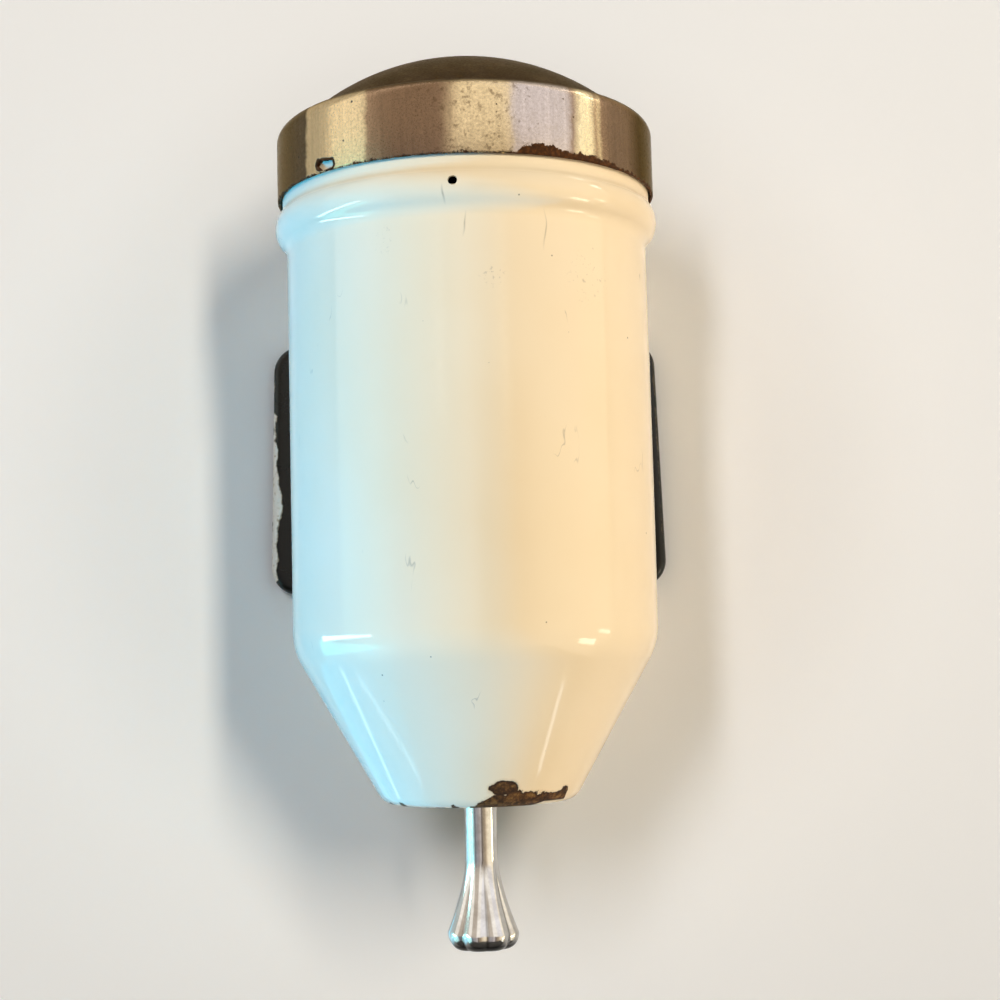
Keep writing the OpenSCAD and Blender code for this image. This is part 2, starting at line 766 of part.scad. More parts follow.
// Return spring: one unbroken coil between the collar and the bridge
module return_spring() {
    count = spring_rings * spring_turns + 1;
    middles = [for (i = [0:count - 1]) spring_point(i)];
    gaps = [for (i = [0:count - 1], j = [i + 4:1:count - 1]) norm(middles[i] - middles[j]) - spring_wire];
    echo(str("least gap between turns of the spring: ", min(gaps), " mm"));
    color(STEEL)
        on_hopper()
            polyhedron(points = [for (i = [0:count - 1], p = spring_ring(i)) p],
                faces = ring_faces(count, spring_sides));
}

wall_plate();
plate_hooks();
hook_rivets();
hopper_shell();
hanger_strap();
outlet_seat();
bridge_lugs();
guide_bridge();
guide_bush();
bridge_screws();
bridge_nuts();
lid_shell();
lid_gasket();
push_knob();
spindle();
valve_washer();
valve_disc();
valve_nut();
lower_agitator();
upper_agitator();
collar_pin();
spring_collar();
stop_sleeve();
return_spring();
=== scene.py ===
import math

import bmesh
import bpy
from mathutils import Matrix, Vector


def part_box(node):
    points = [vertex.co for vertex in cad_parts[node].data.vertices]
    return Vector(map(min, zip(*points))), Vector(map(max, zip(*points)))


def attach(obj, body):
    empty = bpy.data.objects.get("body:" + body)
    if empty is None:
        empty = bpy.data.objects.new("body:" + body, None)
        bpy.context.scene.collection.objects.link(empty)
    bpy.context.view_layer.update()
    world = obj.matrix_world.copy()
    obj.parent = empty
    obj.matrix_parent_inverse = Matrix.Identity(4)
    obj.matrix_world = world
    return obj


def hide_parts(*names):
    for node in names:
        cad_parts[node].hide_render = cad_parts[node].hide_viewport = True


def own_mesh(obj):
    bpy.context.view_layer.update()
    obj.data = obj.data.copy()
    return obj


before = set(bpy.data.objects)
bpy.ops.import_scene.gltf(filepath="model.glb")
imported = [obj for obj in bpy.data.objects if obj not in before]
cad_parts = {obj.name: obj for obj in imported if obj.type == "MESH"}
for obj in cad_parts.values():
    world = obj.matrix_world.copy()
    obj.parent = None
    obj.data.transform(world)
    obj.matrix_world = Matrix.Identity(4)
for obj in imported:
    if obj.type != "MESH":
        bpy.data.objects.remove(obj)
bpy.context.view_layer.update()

# Camera
# The photograph's viewpoint: half a metre in front of the hopper, a little to its left and level with the
# cone, tilted up to take in the lid, and slightly rolled.
MM = 0.001
hopper_low, hopper_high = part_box("hopper_shell")
AXIS_X = (hopper_low.x + hopper_high.x) / 2
AXIS_Y = (hopper_low.y + hopper_high.y) / 2
BASE_Z = hopper_low.z
CAMERA_OUT = 480 * MM
CAMERA_LEFT = 12 * MM
CAMERA_RISE = 36 * MM
CAMERA_TURN = math.radians(2.3)
CAMERA_TILT = math.radians(5.2)
CAMERA_ROLL = math.radians(-1.47)
CAMERA_LENS = 64.7
CAMERA_SENSOR = 36
level = Vector((math.cos(CAMERA_TURN), -math.sin(CAMERA_TURN), 0))
ahead = Vector((math.sin(CAMERA_TURN), math.cos(CAMERA_TURN), 0)) * math.cos(CAMERA_TILT)
ahead.z = math.sin(CAMERA_TILT)
upright = level.cross(ahead)
right = level * math.cos(CAMERA_ROLL) + upright * math.sin(CAMERA_ROLL)
up = upright * math.cos(CAMERA_ROLL) - level * math.sin(CAMERA_ROLL)
camera = bpy.data.objects.new("camera", bpy.data.cameras.new("camera"))
camera.data.lens = CAMERA_LENS
camera.data.sensor_width = CAMERA_SENSOR
stand = Vector((AXIS_X - CAMERA_LEFT, AXIS_Y - CAMERA_OUT, BASE_Z + CAMERA_RISE))
camera.matrix_world = Matrix.Translation(stand) @ Matrix((right, up, -ahead)).transposed().to_4x4()
bpy.context.scene.collection.objects.link(camera)
bpy.context.scene.camera = camera
bpy.context.scene.view_settings.view_transform = "Standard"

# Wall and floor
# A painted plaster wall behind the plate and a pale floor well below. The wall is one-sided and open behind
# the plate, so that the dispenser's back can be looked at too.
WALL_HALF = 2.5
WALL_GAP = 0.3 * MM
WALL_OPENING = (50 * MM, 30 * MM)
FLOOR_DROP = 2.0
WALL_PAINT = "#f4f6fa"
FLOOR_PAINT = "#c9c7c3"
BACKDROP = "#efeeea"
PAINT_ROUGHNESS = 0.85
PAINT_GRAIN = 1.5 * MM
PAINT_RELIEF = 0.1 * MM
PAINTED_LIGHT_FROM = 85 * MM
PAINTED_LIGHT_FULL = 150 * MM
PAINTED_LIGHT_GLOW = 0.14


def linear(colour):
    """An sRGB hex colour as linear RGBA."""
    parts = [int(colour[i : i + 2], 16) / 255 for i in (1, 3, 5)]
    return [p / 12.92 if p <= 0.04045 else ((p + 0.055) / 1.055) ** 2.4 for p in parts] + [1]


def feed(tree, node, inputs):
    """Gives a node its inputs: numbers, hex colours, sockets, or nodes whose first output is linked."""
    for name, value in inputs.items():
        named = [s for s in node.inputs if s.enabled and s.name == name]
        socket = named[0] if named else node.inputs[name]
        if isinstance(value, bpy.types.Node):
            value = next(s for s in value.outputs if s.enabled)
        if isinstance(value, bpy.types.NodeSocket):
            tree.links.new(value, socket)
        elif isinstance(value, str):
            socket.default_value = linear(value)
        else:
            socket.default_value = value


def add(tree, kind, inputs=None, stops=(), **settings):
    """Adds a node with its settings, its inputs, and a ramp's stops as hex colours or grey levels."""
    made = tree.nodes.new(kind)
    for name, value in settings.items():
        setattr(made, name, value)
    feed(tree, made, inputs or {})
    for count, (position, tone) in enumerate(stops):
        ramp = made.color_ramp.elements
        stop = ramp[count] if count < 2 else ramp.new(position)
        stop.position = position
        stop.color = linear(tone) if isinstance(tone, str) else (tone, tone, tone, 1)
    return made


def new_material(name):
    """A material with its node tree and its shader."""
    made = bpy.data.materials.new(name)
    made.use_nodes = True
    return made, made.node_tree, made.node_tree.nodes["Principled BSDF"]


def stage_sheet(name, corners, faces, material):
    """A flat sheet of the room, which throws no shadow, so that a lamp behind the wall lights the back."""
    mesh = bpy.data.meshes.new(name)
    mesh.from_pydata(corners, [], faces)
    mesh.materials.append(material)
    made = bpy.data.objects.new(name, mesh)
    made.visible_shadow = False
    bpy.context.scene.collection.objects.link(made)
    return made


# Emulsion paint on plaster: matt, nearly white, with the faint orange peel of a roller. To the eye it glows
# with painted light that grows away from the dispenser, so that it brightens towards the pale backdrop and
# leaves painted shade round the dispenser. From behind it can be seen through.
painted_plaster, tree, shader = new_material("painted_plaster")
place = add(tree, "ShaderNodeTexCoord").outputs["Object"]
grain = add(tree, "ShaderNodeTexNoise", {"Vector": place, "Scale": 1 / PAINT_GRAIN, "Detail": 3})
relief = add(tree, "ShaderNodeBump", {"Height": grain, "Strength": 0.1, "Distance": PAINT_RELIEF})
off_axis = add(tree, "ShaderNodeVectorMath", {0: place, 1: (1, 0, 1)}, operation="MULTIPLY")
away = add(tree, "ShaderNodeVectorMath", {0: off_axis}, operation="LENGTH")
# Painted light: to the eye the wall glows more the farther it is from the dispenser, leaving painted shade
# round it.
painted_light_away = add(
    tree,
    "ShaderNodeMapRange",
    {"Value": away.outputs["Value"], "From Min": PAINTED_LIGHT_FROM, "From Max": PAINTED_LIGHT_FULL, "To Max": PAINTED_LIGHT_GLOW},
    interpolation_type="SMOOTHSTEP",
)
path = add(tree, "ShaderNodeLightPath")
glow = add(tree, "ShaderNodeMath", {0: path.outputs["Is Camera Ray"], 1: painted_light_away}, operation="MULTIPLY")
feed(tree, shader, {"Base Color": WALL_PAINT, "Roughness": PAINT_ROUGHNESS, "Normal": relief})
feed(tree, shader, {"Emission Color": BACKDROP, "Emission Strength": glow})
clear = add(tree, "ShaderNodeBsdfTransparent")
facing = add(tree, "ShaderNodeNewGeometry")
one_sided = add(tree, "ShaderNodeMixShader", {0: facing.outputs["Backfacing"], 1: shader, 2: clear})
feed(tree, tree.nodes["Material Output"], {"Surface": one_sided})

low_left, low_right = (-WALL_HALF, -FLOOR_DROP), (WALL_HALF, -FLOOR_DROP)
ends = [low_left, low_right, (WALL_HALF, WALL_HALF), (-WALL_HALF, WALL_HALF)]
wide, tall = WALL_OPENING
ends += [(-wide, -tall), (wide, -tall), (wide, tall), (-wide, tall)]
sides = [(0, 1, 5, 4), (1, 2, 6, 5), (2, 3, 7, 6), (3, 0, 4, 7)]
wall = stage_sheet("wall", [(x, WALL_GAP, z) for x, z in ends], sides, painted_plaster)

# Floor paint: matt off-white. The eye sees it as pale as the room behind it, with no skyline between them.
painted_floor, tree, shader = new_material("painted_floor")
in_sight = add(tree, "ShaderNodeLightPath").outputs["Is Camera Ray"]
paint = add(
    tree, "ShaderNodeMix", {"Factor": in_sight, "A": FLOOR_PAINT, "B": "#000000"}, data_type="RGBA"
)
feed(tree, shader, {"Base Color": paint, "Roughness": PAINT_ROUGHNESS, "Specular IOR Level": 0.0})
feed(tree, shader, {"Emission Color": BACKDROP, "Emission Strength": in_sight})

ends = ((-1, -1), (1, -1), (1, 1), (-1, 1))
corners = [(x * WALL_HALF, y * WALL_HALF, -FLOOR_DROP) for x, y in ends]
floor = stage_sheet("floor", corners, [(0, 1, 2, 3)], painted_floor)

# Light
# A cool window low on the left and warm room light on the right meet on the enamel, with soft lamps in
# front, below and behind. Strips stand for bright pane edges, a doorway and bulbs, and show only in gloss.
MIDDLE = Vector((AXIS_X, AXIS_Y, 0))
ROOM_LIGHT = 0.04
ROOM_MIRRORED = 1.3
SIDE_GLARE = 1.6
GLARE_FROM = math.radians(28)
GLARE_FULL = math.radians(42)
HIGH_FROM = 0.02
HIGH_FULL = 0.2
# Watts to the square metre at which a strip looks as bright as plain white.
WHITE_POWER = 4


def new_lamp(name, place, along, width, tall, colour, power, mirrored):
    """A rectangular lamp that faces the hopper, with its width along a direction.

    A mirrored one shows in glossy surfaces and lights nothing else. The others do the reverse.
    """
    data = bpy.data.lights.new(name, "AREA")
    data.shape = "RECTANGLE"
    data.size = width
    data.size_y = tall
    data.color = linear(colour)[:3]
    data.energy = power
    made = bpy.data.objects.new(name, data)
    away = place - MIDDLE
    away = (away - along * away.dot(along)).normalized()
    turned_to = Matrix((along, away.cross(along), away)).transposed().to_4x4()
    made.matrix_world = Matrix.Translation(place) @ turned_to
    made.visible_camera = False
    made.visible_glossy = mirrored
    made.visible_diffuse = not mirrored
    bpy.context.scene.collection.objects.link(made)
    return made


def soft_lamp(name, bearing, rise, distance, width, tall, colour, power):
    """A lamp at a bearing right of the front and a rise, in degrees, and at a distance in metres."""
    turn = math.radians(bearing)
    lift = math.radians(rise)
    out = Vector((math.sin(turn) * math.cos(lift), -math.cos(turn) * math.cos(lift), math.sin(lift)))
    along = Vector((math.cos(turn), math.sin(turn), 0))
    return new_lamp(name, MIDDLE + out * distance, along, width, tall, colour, power, False)


def glint(name, start, end, width, colour, glow):
    """A strip between two points in millimetres, as many times brighter than white as its glow."""
    first = Vector(start) * MM
    run = Vector(end) * MM - first
    middle = first + run / 2
    power = WHITE_POWER * glow * run.length * width * MM
    return new_lamp(name, middle, run.normalized(), run.length, width * MM, colour, power, True)


def spare(collection, *pieces):
    """Adds pieces to a collection of those that some lamps leave out."""
    for piece in pieces:
        collection.objects.link(piece)
    for member in collection.collection_objects:
        member.light_linking.link_state = "EXCLUDE"


front_lamps = [
    soft_lamp("lamp_left", -19, 18, 1.4, 0.14, 0.6, "#faf9f8", 6.8),
    soft_lamp("lamp_right", 19.5, 18, 1.4, 0.12, 0.6, "#fff2dc", 10.6),
]
near_lamps = [
    soft_lamp("window", -75, -25, 1.0, 0.05, 0.4, "#2cb0ff", 14),
    soft_lamp("room_right", 92, -12, 1.0, 0.05, 0.4, "#ffedd9", 5.4),
    soft_lamp("basin", 15, -60, 0.9, 0.4, 0.4, "#fff4e2", 1.3),
]
# The near lamps would glare on the wall beside them, so they leave it and the floor unlit.
unglared = bpy.data.collections.new("unglared")
spare(unglared, wall, floor)
for lamp in near_lamps:
    lamp.light_linking.receiver_collection = unglared
soft_lamp("behind", 180, 15, 1.6, 0.6, 0.6, "#f4f6fa", 12)
window_strips = [
    glint("bead_pane", (-250, -5, -76), (-384, -238, -106), 22, "#c8fbff", 11),
    glint("outer_pane", (-155, -28, -143), (-91, -20, -156), 8, "#d0f8ff", 2.4),
    glint("inner_pane", (-167, -53, -170), (-131, -92, -227), 6, "#d0f8ff", 1.8),
    glint("sill", (-194, -8, -94), (-527, -323, -292), 50, "#64f8e0", 2.6),
    glint("low_window", (-53, -6, -124), (-258, -217, -150), 100, "#50d8ff", 0.8),
]
glint("doorway", (140, -121, -196), (127, -101, -227), 9, "#f4ffff", 2.6)
glint("high_bulb", (691, -107, 808), (691, -27, 808), 140, "#fffaf0", 6)
glint("wall_bulb", (907, -176, 542), (907, -96, 542), 140, "#fffaf0", 6)
glint("low_bulb", (890, -452, -427), (948, -240, -427), 120, "#fff6dc", 6)
glint("far_bulb", (1009, -260, -199), (1023, -100, -199), 80, "#fff6dc", 4)

# The room around, as glossy surfaces mirror it: the bearing right of the front in degrees and the colour
# there, above and below the eye's level.
HIGH_ROOM = (
    (-180, "#b0a89c"), (-108, "#b0a89c"), (-104, "#fff8ee"), (-60, "#fff8ee"), (-56, "#c4b8aa"),
    (-12, "#c4b8aa"), (-6, "#fff8ee"), (20, "#fff8ee"), (26, "#f0ecec"), (68, "#f0ecec"),
    (74, "#fff4e0"), (98, "#fff4e0"), (108, "#b0a89c"), (180, "#b0a89c"),
)
LOW_ROOM = (
    (-180, "#9fb6c4"), (-95, "#a0d3d4"), (-62, "#a0d3d4"), (-52, "#94aaaf"), (-47, "#4a4c52"),
    (-42, "#54525a"), (-34, "#97979b"), (-14, "#aaa19f"), (-2, "#d0c8c4"), (4, "#6a5c54"),
    (8, "#54483f"), (13, "#a39484"), (24, "#a8967c"), (35, "#cab89f"), (50, "#d4c8b0"), (75, "#d4c8b0"),
    (97, "#a69f8d"), (180, "#a89c88"),
)
world = bpy.data.worlds.new("room")
bpy.context.scene.world = world
world.use_nodes = True
tree = world.node_tree
view = add(tree, "ShaderNodeTexCoord")
axes = add(tree, "ShaderNodeSeparateXYZ", {"Vector": view.outputs["Generated"]})
front = add(tree, "ShaderNodeMath", {0: axes.outputs["Y"], 1: -1.0}, operation="MULTIPLY")
bearing = add(tree, "ShaderNodeMath", {0: axes.outputs["X"], 1: front}, operation="ARCTAN2")
share = add(tree, "ShaderNodeMapRange", {"Value": bearing, "From Min": -math.pi, "From Max": math.pi})
high = add(tree, "ShaderNodeValToRGB", {"Fac": share}, [((a + 180) / 360, c) for a, c in HIGH_ROOM])
low = add(tree, "ShaderNodeValToRGB", {"Fac": share}, [((a + 180) / 360, c) for a, c in LOW_ROOM])
aside = add(tree, "ShaderNodeMath", {0: bearing}, operation="ABSOLUTE")
glare = add(
    tree,
    "ShaderNodeMapRange",
    {
        "Value": aside,
        "From Min": GLARE_FROM,
        "From Max": GLARE_FULL,
        "To Min": 1.0,
        "To Max": SIDE_GLARE,
    },
)
low_glare = add(tree, "ShaderNodeVectorMath", {0: low, "Scale": glare}, operation="SCALE")
lift = add(
    tree,
    "ShaderNodeMapRange",
    {"Value": axes.outputs["Z"], "From Min": HIGH_FROM, "From Max": HIGH_FULL},
    interpolation_type="SMOOTHSTEP",
)
room = add(tree, "ShaderNodeMix", {"Factor": lift, "A": low_glare, "B": high}, data_type="RGBA")
path = add(tree, "ShaderNodeLightPath")
in_sight = path.outputs["Is Camera Ray"]
seen = add(tree, "ShaderNodeMix", {"Factor": in_sight, "A": room, "B": BACKDROP}, data_type="RGBA")
mirrored = add(
    tree,
    "ShaderNodeMapRange",
    {"Value": path.outputs["Is Glossy Ray"], "To Min": ROOM_LIGHT, "To Max": ROOM_MIRRORED},
)
strength = add(tree, "ShaderNodeMath", {0: mirrored, 1: in_sight}, operation="MAXIMUM")
feed(tree, tree.nodes["Background"], {"Color": seen, "Strength": strength})

# Wall plate
# A shallow pan pressed from 1.6 mm steel sheet and enamelled black, open at the back, with four screw
# holes. The rim lies on the wall. Its left edge is badly chipped down to the pale ground coat.
PLATE_TOP = 114.5 * MM
PLATE_BOTTOM = 117.5 * MM
PLATE_HEIGHT = 74.5 * MM
PLATE_DEPTH = 7 * MM
PLATE_SHEET = 1.6 * MM
PLATE_CORNER = 8 * MM
PLATE_EDGE = 2.5 * MM
RIM_ROUND = 0.4 * MM
RIM_HALFWAY = (0.1 * MM, 0.12 * MM)
FACE_BORDER = 1.5 * MM
PAN_BORDER = 3 * MM
SCREW_SPREAD = (38 * MM, 22 * MM)
SCREW_HOLE = 2.4 * MM
CORNER_STEPS = 12
EDGE_STEPS = 8
HOLE_SIDES = 48
SHARP = math.radians(35)
# The chips: their ends along the plate's left edge, how far they reach onto its face and side, the grain
# and depth of their ragged line, and their width along the edge in shares.
BITE_FOOT = -38 * MM
BITE_HEAD = 22 * MM
BITE_WIDTH = 3.4 * MM
BITE_SIDE = 3.2 * MM
BITE_GRAIN = 7 * MM
RAGGED = 0.9 * MM
BITE_RUN = (
    (0.0, 0.0), (0.06, 0.0), (0.09, 0.55), (0.3, 0.5), (0.42, 0.85), (0.55, 0.8), (0.62, 0.45),
    (0.74, 0.5), (0.78, 0.15), (0.8, 0.42), (0.9, 0.4), (0.94, 0.0), (1.0, 0.0),
)
WORN_EDGE = 0.3 * PLATE_EDGE
WORN_BLUR = 0.2 * MM
GROUND_GRAIN = 1.2 * MM
DUST_PATCH = 22 * MM
BLACK_PEEL = 2.5 * MM
BLACK_RELIEF = 0.03 * MM


def plate_ring(inset, depth):
    """One outline of the plate, drawn in from its edge, at a depth in front of the wall."""
    radius = PLATE_CORNER - inset
    top = PLATE_TOP / 2 - PLATE_CORNER
    bottom = PLATE_BOTTOM / 2 - PLATE_CORNER
    half = PLATE_HEIGHT / 2 - PLATE_CORNER
    ring = []
    for x, z, start in ((top, half, 0), (-top, half, 90), (-bottom, -half, 180), (bottom, -half, 270)):
        for step in range(CORNER_STEPS + 1):
            angle = math.radians(start + 90 * step / CORNER_STEPS)
            ring.append((x + radius * math.cos(angle), -depth, z + radius * math.sin(angle)))
    return ring


def lofted(rings):
    """A closed form skinned over rings of equal count, with its two ends capped."""
    form = bmesh.new()
    rows = [[form.verts.new(point) for point in ring] for ring in rings]
    for near, far in zip(rows, rows[1:]):
        for i in range(len(near)):
            j = (i + 1) % len(near)
            form.faces.new((near[i], near[j], far[j], far[i]))
    form.faces.new(rows[0])
    form.faces.new(rows[-1])
    bmesh.ops.recalc_face_normals(form, faces=form.faces)
    return form


def new_piece(name, form, material):
    """An object from a form, smooth but for its sharp edges."""
    mesh = bpy.data.meshes.new(name)
    form.to_mesh(mesh)
    form.free()
    mesh.materials.clear()
    mesh.materials.append(material)
    mesh.shade_smooth()
    mesh.set_sharp_from_angle(angle=SHARP)
    made = bpy.data.objects.new(name, mesh)
    bpy.context.scene.collection.objects.link(made)
    return made


def drilled(form, radius, depth, stand):
    """Adds a round cutter to a form."""
    bmesh.ops.create_cone(
        form,
        cap_ends=True,
        segments=HOLE_SIDES,
        radius1=radius,
        radius2=radius,
        depth=depth,
        matrix=stand,
    )


def carve(piece, cutter):
    """Cuts a form out of a piece."""
    mesh = bpy.data.meshes.new("cutter")
    cutter.to_mesh(mesh)
    cutter.free()
    tool = bpy.data.objects.new("cutter", mesh)
    bpy.context.scene.collection.objects.link(tool)
    cut = piece.modifiers.new("cut", "BOOLEAN")
    cut.operation = "DIFFERENCE"
    cut.solver = "EXACT"
    cut.object = tool
    bpy.context.view_layer.update()
    shape = bpy.data.meshes.new_from_object(piece.evaluated_get(bpy.context.evaluated_depsgraph_get()))
    piece.modifiers.remove(cut)
    bpy.data.objects.remove(tool)
    shape.shade_smooth()
    shape.set_sharp_from_angle(angle=SHARP)
    piece.data = shape


def given_to(piece, body, node):
    """Sets a piece on its body in the place of a node."""
    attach(piece, body)
    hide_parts(node)


def ragged_line(tree, place, grain, detail, roughness):
    """How far a chip's edge wanders to either side at a place."""
    noise = add(
        tree,
        "ShaderNodeTexNoise",
        {"Vector": place, "Scale": 1 / grain, "Detail": detail, "Roughness": roughness},
    )
    return add(
        tree,
        "ShaderNodeMapRange",
        {"Value": noise, "From Min": 0.25, "From Max": 0.75, "To Min": -RAGGED, "To Max": RAGGED},
    )


# Black vitreous enamel on pressed steel: deep gloss with a little orange peel, dulled by dust in patches,
# and broken off along the edges, where the pale ground coat and a brown line of rust show.
black_enamel, tree, shader = new_material("black_enamel")
place = add(tree, "ShaderNodeTexCoord").outputs["Object"]
axes = add(tree, "ShaderNodeSeparateXYZ", {"Vector": place})
slant = (PLATE_BOTTOM - PLATE_TOP) / 2 / PLATE_HEIGHT
reach = add(
    tree,
    "ShaderNodeMath",
    {0: axes.outputs["Z"], 1: -slant, 2: (PLATE_TOP + PLATE_BOTTOM) / 4},
    operation="MULTIPLY_ADD",
)
from_left = add(tree, "ShaderNodeMath", {0: axes.outputs["X"], 1: reach}, operation="ADD")
from_right = add(tree, "ShaderNodeMath", {0: reach, 1: axes.outputs["X"]}, operation="SUBTRACT")
run = add(
    tree,
    "ShaderNodeMapRange",
    {"Value": axes.outputs["Z"], "From Min": BITE_FOOT, "From Max": BITE_HEAD},
)
bite = add(tree, "ShaderNodeValToRGB", {"Fac": run}, BITE_RUN)
bite_width = add(tree, "ShaderNodeMath", {0: bite, 1: BITE_WIDTH}, operation="MULTIPLY")
wander = ragged_line(tree, place, BITE_GRAIN, 4, 0.6)
bite_edge = add(tree, "ShaderNodeMath", {0: bite_width, 1: wander}, operation="ADD")
face_depth = add(tree, "ShaderNodeMath", {0: bite_edge, 1: from_left}, operation="SUBTRACT")
side_room = add(
    tree, "ShaderNodeMath", {0: wander, 1: 2.5, 2: BITE_SIDE - PLATE_DEPTH}, operation="MULTIPLY_ADD"
)
side_depth = add(tree, "ShaderNodeMath", {0: side_room, 1: axes.outputs["Y"]}, operation="SUBTRACT")
left_depth = add(tree, "ShaderNodeMath", {0: face_depth, 1: side_depth}, operation="MINIMUM")
left_chip = add(
    tree, "ShaderNodeMapRange", {"Value": left_depth, "From Min": 0.0, "From Max": 0.15 * MM}
)
edge_in = add(tree, "ShaderNodeMath", {0: from_right, 1: WORN_EDGE}, operation="SUBTRACT")
edge_deep = add(
    tree, "ShaderNodeMath", {0: axes.outputs["Y"], 1: PLATE_DEPTH - WORN_EDGE}, operation="ADD"
)
edge_off = add(tree, "ShaderNodeCombineXYZ", {"X": edge_in, "Y": edge_deep, "Z": 0.0})
edge_away = add(tree, "ShaderNodeVectorMath", {0: edge_off}, operation="LENGTH")
right_depth = add(
    tree, "ShaderNodeMath", {0: wander, 1: edge_away.outputs["Value"]}, operation="SUBTRACT"
)
right_chip = add(
    tree,
    "ShaderNodeMapRange",
    {"Value": right_depth, "From Min": -WORN_BLUR, "From Max": WORN_BLUR, "To Max": 0.35},
)
chip = add(tree, "ShaderNodeMath", {0: left_chip, 1: right_chip}, operation="MAXIMUM")
fine = add(tree, "ShaderNodeTexNoise", {"Vector": place, "Scale": 1 / GROUND_GRAIN, "Detail": 3})
ground_coat = add(
    tree, "ShaderNodeValToRGB", {"Fac": fine}, [(0.28, "#d6cebc"), (0.42, "#faf7f0"), (0.7, "#fdfbf6")]
)
rust_rim = add(
    tree, "ShaderNodeMapRange", {"Value": left_depth, "From Min": 0.1 * MM, "From Max": 0.5 * MM}
)
chip_colour = add(
    tree, "ShaderNodeMix", {"Factor": rust_rim, "A": "#7a6a50", "B": ground_coat}, data_type="RGBA"
)
dust = add(
    tree,
    "ShaderNodeTexNoise",
    {"Vector": place, "Scale": 1 / DUST_PATCH, "Detail": 5, "Roughness": 0.65},
)
coat = add(
    tree, "ShaderNodeValToRGB", {"Fac": dust}, [(0.35, "#0d0e0c"), (0.6, "#171510"), (0.78, "#28261f")]
)
colour = add(tree, "ShaderNodeMix", {"Factor": chip, "A": coat, "B": chip_colour}, data_type="RGBA")
dull = add(
    tree,
    "ShaderNodeMapRange",
    {"Value": dust, "From Min": 0.35, "From Max": 0.8, "To Min": 0.14, "To Max": 0.42},
)
roughness = add(tree, "ShaderNodeMix", {"Factor": chip, "A": dull, "B": 0.75})
peel = add(tree, "ShaderNodeTexNoise", {"Vector": place, "Scale": 1 / BLACK_PEEL, "Detail": 1})
height = add(tree, "ShaderNodeMath", {0: chip, 1: -6.0, 2: peel}, operation="MULTIPLY_ADD")
relief = add(tree, "ShaderNodeBump", {"Height": height, "Strength": 0.6, "Distance": BLACK_RELIEF})
feed(tree, shader, {"Base Color": colour, "Roughness": roughness, "Normal": relief, "IOR": 1.36})

outside = [plate_ring(RIM_ROUND, 0), plate_ring(*RIM_HALFWAY), plate_ring(0, RIM_ROUND)]
inside = [plate_ring(PLATE_SHEET - RIM_ROUND, 0), plate_ring(PLATE_SHEET, RIM_ROUND)]
for step in range(EDGE_STEPS + 1):
    turn = math.radians(90 * step / EDGE_STEPS)
    ease = PLATE_EDGE
    outside.append(plate_ring(ease * (1 - math.cos(turn)), PLATE_DEPTH - ease + ease * math.sin(turn)))
    ease = PLATE_EDGE - PLATE_SHEET / 2
    depth = PLATE_DEPTH - PLATE_SHEET - ease + ease * math.sin(turn)
    inside.append(plate_ring(PLATE_SHEET + ease * (1 - math.cos(turn)), depth))
outside.append(plate_ring(PLATE_EDGE + FACE_BORDER, PLATE_DEPTH))
inside.append(plate_ring(PLATE_SHEET + PAN_BORDER, PLATE_DEPTH - PLATE_SHEET))
plate = new_piece("plate", lofted(outside[::-1] + inside), black_enamel)
holes = bmesh.new()
for x in (-SCREW_SPREAD[0], SCREW_SPREAD[0]):
    for z in (-SCREW_SPREAD[1], SCREW_SPREAD[1]):
        stand = Matrix.Translation((x, -PLATE_DEPTH, z)) @ Matrix.Rotation(math.radians(90), 4, "X")
        drilled(holes, SCREW_HOLE, 4 * PLATE_SHEET, stand)
carve(plate, holes)
given_to(plate, "wall_plate", "wall_plate")
# The near lamps would turn the chipped edge blue, so they leave the plate unlit as well.
spare(unglared, plate)

# Hooks
# Two J-shaped hooks of 1.6 mm steel on the plate's front, enamelled with it. The hopper's hanger strap
# drops in behind their lips. Four steel rivets hold them, with a head on each side.
EASE = 0.25 * MM
FINE_EASE = 0.2 * MM
RIVET_EASE = 0.3 * MM
SAME_POINT = 0.002 * MM
SAME_FACE = math.radians(0.5)
ZINC_BLOTCH = 6 * MM
ZINC_SPECK = 0.8 * MM
FINE_RELIEF = 0.02 * MM


def eased(name, node, width, material, body):
    """A CAD piece with its sharp edges rounded off, standing for its node."""
    form = bmesh.new()
    form.from_mesh(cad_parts[node].data)
    bmesh.ops.remove_doubles(form, verts=form.verts, dist=SAME_POINT)
    bmesh.ops.dissolve_limit(form, angle_limit=SAME_FACE, verts=form.verts, edges=form.edges)
    sharp = [e for e in form.edges if len(e.link_faces) == 2 and e.calc_face_angle(0) > SHARP]
    bmesh.ops.bevel(
        form, geom=sharp, offset=width, segments=2, profile=0.5, affect="EDGES", clamp_overlap=True
    )
    made = new_piece(name, form, material)
    if "custom_normal" in made.data.attributes:
        made.data.attributes.remove(made.data.attributes["custom_normal"])
    given_to(made, body, node)


eased("hooks", "plate_hooks", EASE, black_enamel, "wall_plate")

